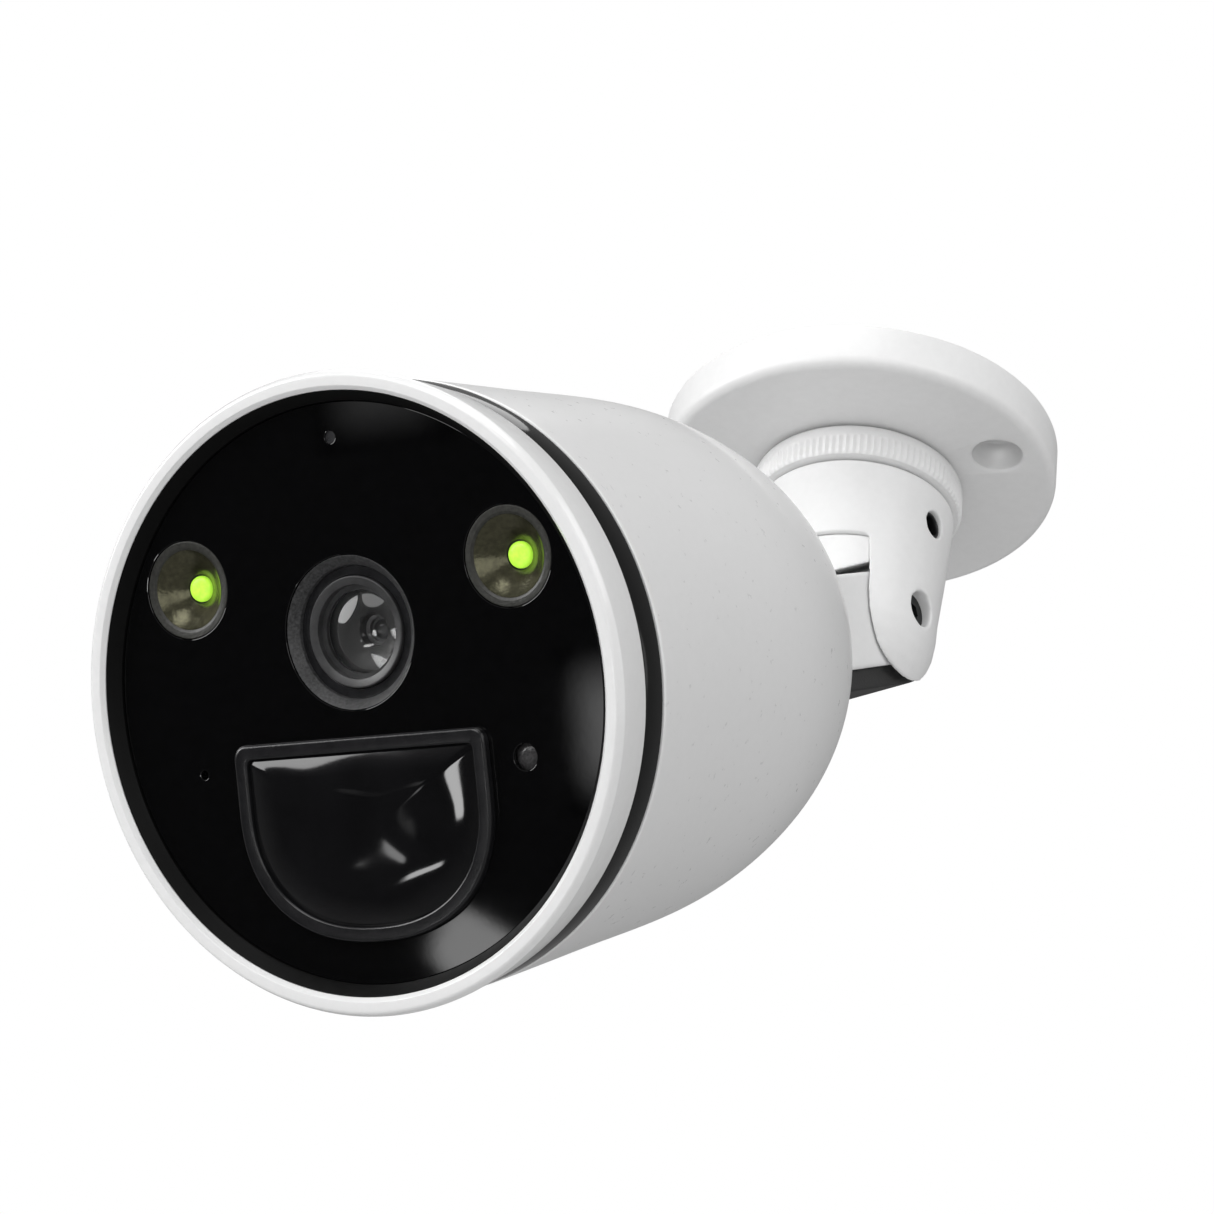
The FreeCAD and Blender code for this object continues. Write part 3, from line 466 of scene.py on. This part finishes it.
inner = [q for q in inset_profile(skin, WALL) if q[1] < CAVITY_END]
outline = [(37.2, 12.2), (39.05, 12.2), (39.25, 12.27), (39.33, 12.45)]
outline += [q for q in skin if 12.6 < q[1] < 95.6]
outline += [(15.5, 95.95), (15.4, 96.4), (15.4, 99.0), (15.25, 99.35), (14.9, 99.5), (8.4, 99.5),
            (8.05, 99.2), (8.05, CAVITY_END)]
outline += list(reversed(inner))
housing = make("housing_shell", *lathe_mesh(outline, 256), CAMERA, "white_shell", "camera", ["housing"])
cutters = [
    scrap(*curved_slab(-COVER_HALF - 0.6, COVER_HALF + 0.6, COVER_Y0 - 0.6, COVER_Y1 + 1.05,
                       -3.0, 1.9), CAMERA),
    scrap(*block(-3.9, -1.9, 48.4, 60.4, -60, -28), CAMERA),
    scrap(*rod(1.8, -60, -28, "Z", (0, 64.6, 0)), CAMERA),
    scrap(*rod(4.2, 78, 120, "Y", (0, 0, -20.0)), CAMERA),
]
for count, radius in ((1, 0.0), (6, 2.8), (12, 5.6)):
    for k in range(count):
        a = 2 * math.pi * k / count
        at = (radius * math.cos(a), 31.0 + radius * math.sin(a), 0)
        cutters.append(scrap(*rod(0.7, -60, -30, "Z", at, 24), CAMERA))
combine(housing, cutters)
dress(housing, "white_shell", "camera")

cover = make("service_flap", *curved_slab(-COVER_HALF, COVER_HALF, COVER_Y0, COVER_Y1, 0.0, 1.5, 48, 72, 0.7),
             CAMERA, "cover_rubber", "cover", ["service_cover"], sharp=50)
combine(cover, [scrap(*rod(0.45, -3.5, 3.5, "X", (0, COVER_Y1, -33.25), 32), CAMERA)], "UNION")
dress(cover, "cover_rubber", "cover", sharp=50)

# ---- front rings ----
make("front_bezel", *lathe_mesh(rounded([
    (38.0, 0.55, 0.15), (38.55, 0.0, 0.2), (40.0, 0.0, 0.6), (40.5, 1.0, 0.6), (39.5, 7.6, 0.25), (36.4, 7.6),
    (36.4, 4.75), (38.0, 4.75)]), 256), CAMERA, "white_bezel", "camera", ["bezel_ring"])
make("inner_trim", *lathe_mesh(rounded([
    (37.95, 0.5, 0.05), (37.95, 4.6), (36.65, 4.6), (36.65, 2.3, 0.1)]), 256), CAMERA, "black_satin",
     "camera", ["trim_ring"], material="trim_black")
make("gloss_band", *lathe_mesh(rounded([
    (36.4, 7.8), (39.3, 7.8, 0.3), (39.3, 12.0, 0.3), (36.4, 12.0)]), 256), CAMERA, "black_gloss", "camera",
     ["black_band"])

# ---- face ----
LENS_Z = 7.63
LED_X, LED_Z = 24.6, 15.07
PIR_HALF, PIR_TOP, PIR_SHOULDER, PIR_BOTTOM = 19.2, -5.4, -14.0, -31.2
PIR_CORNER, PIR_POWER = 1.8, 2.3
PIR_MID = (PIR_TOP + PIR_BOTTOM) / 2
FACE_Y0, FACE_Y1 = 2.6, 4.6


def pir_outline(inset, y, arc=72, side=12, across=48):
    """D-shaped ring of points: straight top, rounded bottom."""
    half = PIR_HALF - inset
    top = PIR_TOP - inset
    depth = PIR_SHOULDER - PIR_BOTTOM - inset
    corner = max(PIR_CORNER - 0.5 * inset, 0.6)
    pts = []
    for k in range(arc + 1):
        a = math.pi * k / arc
        c, s = math.cos(a), math.sin(a)
        pts.append((half * math.copysign(abs(c) ** (2 / PIR_POWER), c), y,
                    PIR_SHOULDER - depth * s ** (2 / PIR_POWER)))
    for k in range(1, side):
        pts.append((-half, y, PIR_SHOULDER + (top - corner - PIR_SHOULDER) * k / side))
    for k in range(9):
        a = math.pi - math.pi / 2 * k / 8
        pts.append((-half + corner + corner * math.cos(a), y, top - corner + corner * math.sin(a)))
    for k in range(1, across):
        pts.append((-half + corner + 2 * (half - corner) * k / across, y, top))
    for k in range(9):
        a = math.pi / 2 - math.pi / 2 * k / 8
        pts.append((half - corner + corner * math.cos(a), y, top - corner + corner * math.sin(a)))
    for k in range(1, side):
        pts.append((half, y, top - corner - (top - corner - PIR_SHOULDER) * k / side))
    return pts


def circle(r, x, z, count=128):
    return [(x + r * math.cos(2 * math.pi * k / count), z + r * math.sin(2 * math.pi * k / count))
            for k in range(count)]


def flat_plate(name, outlines, y0, y1, edge, place, slot, body, replaced):
    """A flat plate with holes and softened edges, from closed (x, z) outlines."""
    curve = bpy.data.curves.new(name, "CURVE")
    curve.dimensions = "2D"
    curve.fill_mode = "BOTH"
    curve.extrude = (y1 - y0) / 2 - edge
    curve.bevel_depth = edge
    curve.bevel_resolution = 2
    curve.offset = -edge
    for points in outlines:
        line = curve.splines.new("POLY")
        line.points.add(len(points) - 1)
        for target, (x, z) in zip(line.points, points):
            target.co = (x, z, 0, 1)
        line.use_cyclic_u = True
    holder = bpy.data.objects.new(name, curve)
    bpy.context.scene.collection.objects.link(holder)
    graph = bpy.context.evaluated_depsgraph_get()
    mesh = bpy.data.meshes.new_from_object(holder.evaluated_get(graph))
    bpy.data.objects.remove(holder)
    mesh.name = name
    stand = Matrix(((1, 0, 0, 0), (0, 0, 1, (y0 + y1) / 2), (0, 1, 0, 0), (0, 0, 0, 1)))
    mesh.transform(place @ stand)
    bm = bmesh.new()
    bm.from_mesh(mesh)
    bmesh.ops.remove_doubles(bm, verts=bm.verts, dist=1e-6)
    bmesh.ops.recalc_face_normals(bm, faces=bm.faces)
    bm.to_mesh(mesh)
    bm.free()
    obj = bpy.data.objects.new(name, mesh)
    bpy.context.scene.collection.objects.link(obj)
    dress(obj, slot, body, replaced, sharp=8)
    return obj


plate_holes = [circle(9.8, 0, LENS_Z), circle(6.35, -LED_X, LED_Z), circle(6.35, LED_X, LED_Z),
               circle(1.7, 24.3, -9.6, 48), circle(0.8, 0.0, 32.2, 32), circle(0.6, -24.8, -8.8, 32),
               [(x, z) for x, y, z in pir_outline(0.0, 0.0)]]
flat_plate("face_window", [circle(36.6, 0, 0, 256)] + plate_holes, FACE_Y0, FACE_Y1, 0.12, CAMERA,
           "face_acrylic", "camera", ["faceplate"])
verts, faces = lathe_mesh(rounded([
    (9.75, 2.66, 0.1), (9.78, 4.6), (8.3, 4.6, 0.05), (8.5, 3.9, 0.3)]), 160)
make("lens_window_edge", shifted(verts, 0, 0, LENS_Z), faces, CAMERA, "face_acrylic", "camera",
     material="hole_edge")


# ---- motion sensor window ----
section = rounded([(0.0, 4.6), (0.0, 1.5, 0.45), (1.9, 1.5, 0.35), (1.9, 4.6)], 6)
make("motion_frame", *loft([pir_outline(i, y) for i, y in section]), CAMERA, "black_satin", "camera",
     ["pir_frame"], sharp=40)


def dome_ring(share, y_shift):
    ring = []
    for x, y, z in pir_outline(1.92, 0.0):
        px, pz = x * share, PIR_MID + (z - PIR_MID) * share
        bulge = 1.5 * (1 - share ** 3.2)
        wave = 0.05 * math.sin(0.42 * px + 0.6) * math.sin(0.5 * pz + 0.3) * (1 - share ** 6)
        ring.append((px, 2.15 - bulge + wave + y_shift, pz))
    return ring


shares = [0.02 + 0.98 * math.sin(math.pi / 2 * k / 30) for k in range(31)]
rings = [dome_ring(s, 0.0) for s in shares]
rings += [[(x, 3.4, z) for x, y, z in dome_ring(1.0, 0.0)]]
rings += [[(x, 3.4, z) for x, y, z in dome_ring(0.05, 0.0)]]
make("motion_window_dome", *loft(rings, close_ends=True), CAMERA, "motion_window", "camera", ["pir_lens"],
     sharp=40)

# ---- lamps ----
for side, x in (("left", -LED_X), ("right", LED_X)):
    bowl = [(1.9, 5.5), (2.3, 5.15), (2.9, 4.55), (3.7, 3.95), (4.5, 3.45), (5.0, 3.05), (5.12, 2.95),
            (5.3, 3.2), (5.3, 4.0), (3.6, 5.6)]
    verts, faces = lathe_mesh(bowl, 96)
    make("lamp_cup_" + side, shifted(verts, x, 0, LED_Z), faces, CAMERA, "reflector_cup", "camera",
         ["reflector_" + side], sharp=60)
    verts, faces = lathe_mesh(rounded([(5.12, 2.95, 0.1), (5.5, 2.8, 0.1), (6.3, 2.7, 0.15), (6.3, 4.0),
                                       (5.3, 4.0)]), 96)
    make("lamp_rim_" + side, shifted(verts, x, 0, LED_Z), faces, CAMERA, "reflector_cup", "camera",
         material="reflector_rim")
    # The LED chips carry the led_lamp material's painted glow.
    cap = [(0, 5.05), (0.9, 5.08), (1.35, 5.18), (1.6, 5.35), (1.68, 5.6), (1.68, 5.9), (0, 5.9)]
    verts, faces = lathe_mesh(cap, 64, closed=False)
    make("lamp_" + side, shifted(verts, x, 0, LED_Z), faces, CAMERA, "led_lamp", "camera", ["led_" + side],
         sharp=60)

# ---- lens ----
barrel = rounded([
    (7.1, 3.82, 0.2), (7.1, 9.0), (6.0, 9.0), (6.0, 19.0), (4.0, 19.0), (4.0, 9.0), (5.3, 7.6), (5.3, 5.2),
    (5.95, 5.2, 0.05), (5.95, 4.2, 0.12)])
verts, faces = lathe_mesh(barrel, 160)
make("lens_tube", shifted(verts, 0, 0, LENS_Z), faces, CAMERA, "lens_metal", "camera", ["lens_barrel"])
dome = [(5.85 * math.sin(0.66 * k / 14) / math.sin(0.66), 4.45 + 9.5 * (1 - math.cos(0.66 * k / 14)) * 0.8)
        for k in range(15)]
verts, faces = lathe_mesh(dome + [(5.85, 6.3), (5.2, 6.6), (3.0, 5.9), (0, 5.6)], 128, closed=False)
make("lens_front_glass", shifted(verts, 0, 0, LENS_Z), faces, CAMERA, "lens_glass", "camera", ["lens_front"],
     sharp=40)
verts, faces = lathe_mesh(rounded([
    (7.15, 4.3, 0.15), (8.45, 4.3, 0.15), (8.45, 6.0), (7.15, 6.0)]), 128)
make("lens_gasket", shifted(verts, 0, 0, LENS_Z), faces, CAMERA, "black_satin", "camera", ["lens_seal"])
iris = rounded([
    (5.75, 6.75, 0.05), (4.2, 7.0), (2.9, 7.5), (2.0, 8.1, 0.15), (1.9, 9.6), (4.6, 9.6), (5.25, 7.9)])
verts, faces = lathe_mesh(iris, 128)
make("lens_iris", shifted(verts, 0, 0, LENS_Z), faces, CAMERA, "lens_metal", "camera", material="iris_black")
for index, (r, y) in enumerate(((1.85, 9.0), (1.45, 9.7))):
    baffle = rounded([(r, y, 0.05), (r - 0.45, y + 0.15, 0.05), (r - 0.45, y + 0.5), (r, y + 0.5)])
    verts, faces = lathe_mesh(baffle, 96)
    make("lens_baffle_%d" % index, shifted(verts, 0, 0, LENS_Z), faces, CAMERA, "lens_metal", "camera")
bead = [(1.3 * math.sin(0.09 * k), 10.3 - 1.3 * math.cos(0.09 * k)) for k in range(15)]
verts, faces = lathe_mesh(bead + [(1.2, 10.6), (0, 10.6)], 64, closed=False)
make("lens_core", shifted(verts, 0, 0, LENS_Z), faces, CAMERA, "lens_glass", "camera",
     material="core_glass", sharp=40)

# ---- base plate ----
hole_turns = [math.radians(PLATE_HOLE_TURN + 180 * k) for k in range(2)]
hole_places = [(PLATE_HOLE_RING * math.cos(a), PLATE_HOLE_RING * math.sin(a)) for a in hole_turns]
outline = rounded([(6.0, 0), (PLATE_R, 0, 0.5), (PLATE_R, -7.4, 1.6), (12.6, -7.4, 0.6),
                   (12.6, -10.2), (6.0, -10.2)], 8)
plate = scrap(*lathe_mesh(outline, 256, "Z"))
pocket = scrap(*lathe_mesh([(14.5, 2), (25.8, 2), (25.8, -4.4), (14.5, -4.4)], 192, "Z"))
combine(pocket, [scrap(*rod(6.2, -8, 3, "Z", (x, y, 0))) for x, y in hole_places])
cutters = [pocket, scrap(*lathe_mesh([(27.0, 2), (29.0, 2), (29.0, -1.2), (27.0, -1.2)], 192, "Z"))]
for x, y in hole_places:
    profile = [(0, 2), (2.25, 2), (2.25, -1.9), (2.6, -2.0), (3.75, -2.0), (3.9, -2.15),
               (3.9, -7.05), (4.15, -7.3), (4.6, -7.45), (4.6, -9), (0, -9)]
    verts, faces = lathe_mesh(profile, 64, "Z", closed=False)
    cutters.append(scrap(shifted(verts, x, y), faces))
combine(plate, cutters)
plate.name = "mounting_plate"
dress(plate, "white_bracket", "base", ["base_plate"], sharp=30)

# ---- lock ring ----
TEETH = 96


def toothed(radius, z, depth):
    count = TEETH * 6
    ring = []
    for k in range(count):
        a = 2 * math.pi * k / count
        r = radius - depth * (0.5 - 0.5 * math.cos(TEETH * a)) ** 0.8
        ring.append((r * math.cos(a), r * math.sin(a), z))
    return ring


levels = [(12.9, -7.7, 0), (14.9, -7.7, 0), (15.4, -7.8, 0), (15.8, -8.1, 0), (16.1, -8.6, 0),
          (16.25, -9.2, 0), (16.3, -9.8, 0), (16.3, -10.1, 0.05),
          (16.3, -10.5, 0.26), (16.3, -12.5, 0.28), (16.15, -12.9, 0.2),
          (15.8, -13.25, 0.05), (15.3, -13.4, 0), (11.6, -13.4, 0), (11.4, -13.2, 0), (11.4, -12.4, 0),
          (12.9, -12.4, 0)]
make("toothed_ring", *loft([toothed(r, z, d) for r, z, d in levels]), BRACKET, "white_ring", "lock_ring",
     ["lock_ring"], sharp=30)

# ---- stem with two ears ----
drop = PIVOT_DROP
TIP_R = 10.4
outline = [(0, -13.7), (14.4, -13.7), (15.0, -13.9), (15.2, -14.4), (14.5, -24.8), (13.75, -33.0),
           (13.65, -36.0), (13.3, -38.6), (12.6, -41.0), (11.6, -43.4),
           (10.4, -45.4), (9.9, -47.0), (0, -47.0)]
stem = scrap(*lathe_mesh(outline, 192, "Z", closed=False))
tip_turns = [math.radians(a) for a in range(0, -181, -6)]
tip = [(TIP_R * math.cos(a), -drop + TIP_R * math.sin(a)) for a in tip_turns]
outer_ring = [(30.0, -10.0), (-30.0, -10.0), (-30.0, -drop)] + list(reversed(tip)) + [(30.0, -drop)]
prism = loft([[(-20.0, y, z) for y, z in outer_ring], [(20.0, y, z) for y, z in outer_ring]], close_ends=True)
combine(stem, [scrap(*prism)], "INTERSECT")
combine(stem, [
    scrap(*block(-9.8, 9.8, -31, 31, -60, -26.6)),
    scrap(*rod(1.6, -30, 30, "X", (0, 0, -drop))),
    scrap(*rod(2.75, 10.8, 30, "X", (0, 0, -drop))),
    scrap(*rod(3.18, -30, -10.8, "X", (0, 0, -drop), 6)),
    scrap(*rod(1.5, 0, 30, "X", (0, 0, CLAMP_Z))),
    scrap(*rod(2.1, 10.4, 30, "X", (0, 0, CLAMP_Z))),
])
combine(stem, [scrap(*rod(6.05, -22.1, -10, "Z", segments=96))])
soften(stem, 0.26, 8)
stem.name = "clevis_stem"
dress(stem, "white_bracket", "stem", ["stem_yoke"], sharp=60)

# A dark ring in the clamp screw's recess, which makes the recess look dark. It stands for no CAD solid.
dark_ring_outline = rounded([(1.55, 10.5), (2.08, 10.5), (2.08, 14.1, 0.1), (1.7, 14.1, 0.1), (1.55, 13.6)])
verts, faces = lathe_mesh(dark_ring_outline, 64, "X")
make("clamp_recess_dark_ring", shifted(verts, 0, 0, CLAMP_Z), faces, BRACKET, "black_steel", "stem")

# ---- insert that closes the slot above the arm ----
insert = scrap(*lathe_mesh([(0, -35.0), (13.2, -35.0), (13.6, -33.4), (13.7, -32.0), (13.7, -26.7),
                            (0, -26.7)], 192, "Z", closed=False))
combine(insert, [scrap(*block(-9.7, 9.7, -13.8, -4.6, -36, -26.65))], "INTERSECT")
rest_plane = [(y, z) for y, z in ((0.0, 8.5), (0.0, -30.0), (200.0, -30.0), (200.0, 8.5))]
below_arm = scrap(*loft([[(x, y, z) for y, z in rest_plane] for x in (-14.0, 14.0)], close_ends=True), ARM)
combine(insert, [scrap(*rod(8.4, -14, 14, "X", (0, 0, -drop), 128)), below_arm])
soften(insert, 0.16, 8)
insert.name = "slot_filler"
dress(insert, "white_bracket", "stem", ["slot_insert"], sharp=60)

# ---- arm ----
TONGUE_R, ARM_TOP, ARM_BOTTOM = 8.0, 7.2, -7.2
arc_start = math.degrees(math.acos(ARM_TOP / TONGUE_R))
arc_end = math.degrees(math.acos(ARM_BOTTOM / TONGUE_R))
side = [(101.0, ARM_BOTTOM), (101.0, ARM_TOP)]
for k in range(65):
    a = math.radians(-arc_start + (360 - arc_end + arc_start) * k / 64)
    side.append((PIVOT_Y + TONGUE_R * math.sin(a), TONGUE_R * math.cos(a)))
bar = scrap(*loft([[(x, y, z) for y, z in side] for x in (-9.5, 9.5)], close_ends=True), ARM)
flange = lathe_mesh([(0, 82.0), (8.0, 82.0), (8.0, 99.8), (13.8, 99.8), (14.4, 100.4), (14.4, 103.2),
                     (13.8, 104.0), (0, 104.0)], 160, closed=False)
combine(bar, [scrap(*flange, ARM)], "UNION")
combine(bar, [scrap(*rod(1.65, -20, 20, "X", (0, PIVOT_Y, 0)), ARM)])


def underside(reach, half, y0, top, behind):
    """A prism under the arm: flat at a reach below the tilt axis, with a round end."""
    line = [(y0, top), (y0, -reach)]
    end = math.asin(min(1.0, behind / reach))
    line += [(PIVOT_Y + reach * math.sin(end * k / 32), -reach * math.cos(end * k / 32)) for k in range(33)]
    line.append((PIVOT_Y + behind, top))
    return loft([[(x, y, z) for y, z in line] for x in (-half, half)], close_ends=True)


channel = combine(scrap(*underside(10.2, 8.7, 105.4, -1.9, 7.8), ARM),
                  [scrap(*underside(6.75, 9.0, 100.0, 2.0, 6.7), ARM)])
combine(bar, [channel])
soften(bar, 0.28, 7)
bar.name = "swivel_arm"
dress(bar, "white_bracket", "arm", ["camera_arm"], sharp=60)
# A black strip in the channel under the arm, which makes the arm's underside dark.
strip = combine(scrap(*underside(10.2, 8.5, 105.6, -2.05, 7.65), ARM),
                [scrap(*underside(6.9, 9.0, 100.0, 2.0, 6.8), ARM)])
soften(strip, 0.2, 12)
strip.name = "channel_strip"
dress(strip, "seal_rubber", "arm", ["arm_cover"], sharp=60)

# ---- cable inlet ----
profile = [(3.0, 84.0), (4.15, 84.0)]
for k in range(4):
    y = 92.3 + 0.9 * k
    profile += [(4.15, y), (3.85, y + 0.15), (3.85, y + 0.45), (4.15, y + 0.6)]
profile += [(4.15, 96.1), (3.9, 96.45), (3.2, 96.5), (3.0, 96.3)]
verts, faces = lathe_mesh(profile, 96)
make("inlet_collar", shifted(verts, 0, 0, -20.0), faces, CAMERA, "white_bracket", "camera", ["cable_gland"])

# ---- studio ----
def aimed(location, look, up):
    back = -Vector(look).normalized()
    right = Vector(up).cross(back).normalized()
    turn = Matrix((right, back.cross(right), back)).transposed().to_4x4()
    return Matrix.Translation(location) @ turn


EYE = (303.1, -425.5, 9.6)
LOOK = (-0.52628, 0.85030, -0.00384)
UP = (0.08304, 0.05589, 0.99498)
lens = bpy.data.cameras.new("photo_camera")
lens.lens = 124.04
lens.sensor_width = 36.0
lens.clip_start, lens.clip_end = 0.01, 50.0
eye = bpy.data.objects.new("photo_camera", lens)
turn = CAMERA.to_3x3()
look = (turn @ Vector(LOOK)).normalized()
up = (turn @ Vector(UP)).normalized()
eye.matrix_world = aimed(CAMERA @ Vector(EYE), look, up)
bpy.context.scene.collection.objects.link(eye)
bpy.context.scene.camera = eye


right = look.cross(up).normalized()
subject = CAMERA @ Vector((0, 60, 0))


def seen_from(side, rise, near):
    """Unit direction from the object: to the picture's right, up, and towards the viewer."""
    return (right * side + up * rise - look * near).normalized()


def softbox(name, direction, power, size=0.6, distance=1.0):
    data = bpy.data.lights.new(name, "AREA")
    data.shape = "DISK"
    data.size = size
    data.energy = power
    obj = bpy.data.objects.new(name, data)
    towards = seen_from(*direction)
    obj.matrix_world = aimed(subject + towards * distance, -towards, up + right * 0.01)
    bpy.context.scene.collection.objects.link(obj)
    return obj


LIGHTS = [
    ("left", (-1.0, 0.35, 0.0), 5.4),
    ("top", (0.0, 1.0, 0.1), 3.1),
    ("top_left", (-0.6, 0.6, 0.5), 2.7),
    ("top_right", (0.6, 0.6, 0.5), 2.2),
    ("back_top", (0.0, 0.7, -0.7), 1.8),
    ("front", (0.1, 0.3, 1.0), 1.2),
    ("right", (1.0, 0.1, 0.0), 0.8),
    ("right_front", (0.8, 0.1, 0.55), 0.4),
]
for name, direction, power in LIGHTS:
    softbox(name, direction, power)

def glow_material(name, strength):
    """Emission that fades from a card's middle to its edge."""
    mat = bpy.data.materials.new(name)
    mat.use_nodes = True
    n = Nodes(mat.node_tree)
    mat.node_tree.nodes.remove(mat.node_tree.nodes["Principled BSDF"])
    level = n.add("ShaderNodeAttribute", attribute_name="glow")
    power = n.add("ShaderNodeMath", operation="MULTIPLY")
    power.inputs[1].default_value = strength
    n.link(level.outputs["Fac"], power.inputs[0])
    emit = n.add("ShaderNodeEmission")
    n.link(power.outputs["Value"], emit.inputs["Strength"])
    n.link(emit.outputs["Emission"], mat.node_tree.nodes["Material Output"].inputs["Surface"])
    return mat


def card(name, point_at, strength, edge=0.6, cells=24):
    """A glowing studio card, seen only in reflections. point_at maps (-1..1, -1..1) to the camera frame."""
    verts, levels, faces = [], [], []
    for j in range(cells + 1):
        for i in range(cells + 1):
            u, v = 2 * i / cells - 1, 2 * j / cells - 1
            verts.append(tuple(point_at(u, v)))
            inside = min(1.0, max(0.0, (1 - math.hypot(u ** 2, v ** 2) ** 0.5) / edge))
            levels.append(inside * inside * (3 - 2 * inside))
    width = cells + 1
    for j in range(cells):
        for i in range(cells):
            a = j * width + i
            faces.append((a, a + 1, a + width + 1, a + width))
    mesh = bpy.data.meshes.new(name)
    mesh.from_pydata(verts, [], faces)
    glow = mesh.attributes.new("glow", "FLOAT", "POINT")
    glow.data.foreach_set("value", levels)
    mesh.transform(CAMERA)
    mesh.materials.append(glow_material(name, strength))
    obj = bpy.data.objects.new(name, mesh)
    bpy.context.scene.collection.objects.link(obj)
    obj.visible_camera = False
    obj.visible_diffuse = False
    obj.visible_shadow = False


def face_card(name, x, z, half_x, half_z, turn_deg, strength, edge=0.6, distance=480.0):
    """A card placed so that the face reflects it as a soft patch round (x, z)."""
    c, w = math.cos(math.radians(turn_deg)), math.sin(math.radians(turn_deg))

    def point_at(u, v):
        a, b = u * half_x, v * half_z
        spot = Vector((x + a * c - b * w, FACE_Y0, z + a * w + b * c))
        ray = (spot - Vector(EYE)).normalized()
        return spot + Vector((ray.x, -ray.y, ray.z)) * distance

    card(name, point_at, strength, edge)


face_card("card_top", 8.5, 38.5, 10.5, 8.5, 0, 0.6, 0.9)
face_card("card_right", 39.0, -7.0, 9.5, 10.5, 0, 2.2, 0.8)
face_card("card_low", 15.5, -34.0, 9.5, 5.6, -30, 4.2, 0.4)


def front_card(name, direction, half_x, half_z, strength, distance=600.0):
    """A card out in front of the face, for the curved window's highlights."""
    middle = Vector(direction).normalized()
    across = Vector((0, 0, 1)).cross(middle).normalized()
    rise = middle.cross(across)
    card(name, lambda u, v: middle * distance + across * u * half_x + rise * v * half_z, strength, 0.25)


front_card("card_front", (-0.20, -0.97, -0.05), 30.0, 42.0, 10.0)
front_card("card_low_front", (-0.38, -0.88, -0.27), 90.0, 15.0, 9.0)

# White behind the object for the camera, and a dim room for light and reflections.
world = bpy.data.worlds.new("studio")
bpy.context.scene.world = world
world.use_nodes = True
n = Nodes(world.node_tree)
tree = world.node_tree
backdrop = tree.nodes["Background"]
backdrop.inputs["Color"].default_value = (1, 1, 1, 1)
backdrop.inputs["Strength"].default_value = 1.0
room = n.add("ShaderNodeBackground")
room.inputs["Color"].default_value = (1, 1, 1, 1)
mirrored = look - 2 * look.dot(camera_y) * camera_y
facing = n.add("ShaderNodeVectorMath", operation="DOT_PRODUCT")
n.link(n.add("ShaderNodeTexCoord").outputs["Generated"], facing.inputs[0])
facing.inputs[1].default_value = mirrored
fade = n.add("ShaderNodeMapRange", From_Min=0.72, From_Max=0.93, To_Min=0.28, To_Max=0.023)
n.link(facing.outputs["Value"], fade.inputs["Value"])
n.link(fade.outputs["Result"], room.inputs["Strength"])
path = n.add("ShaderNodeLightPath")
pick = n.add("ShaderNodeMixShader")
n.link(path.outputs["Is Camera Ray"], pick.inputs[0])
n.link(room.outputs[0], pick.inputs[1])
n.link(backdrop.outputs[0], pick.inputs[2])
n.link(pick.outputs[0], tree.nodes["World Output"].inputs["Surface"])

FLOOR_Z = -0.75
FLOOR_HALF = 6
floor_mesh = bpy.data.meshes.new("floor")
corners = [(x * FLOOR_HALF, y * FLOOR_HALF) for x, y in ((-1, -1), (1, -1), (1, 1), (-1, 1))]
floor_mesh.from_pydata([(x, y, FLOOR_Z) for x, y in corners], [], [(0, 1, 2, 3)])
floor = bpy.data.objects.new("floor", floor_mesh)
bpy.context.scene.collection.objects.link(floor)
floor_mesh.materials.append(surface("floor", (0.86, 0.86, 0.86), 0.8, vary=0.01, grain=3.0, bump=0.0))
floor.visible_glossy = False

bpy.context.scene.view_settings.view_transform = "Standard"
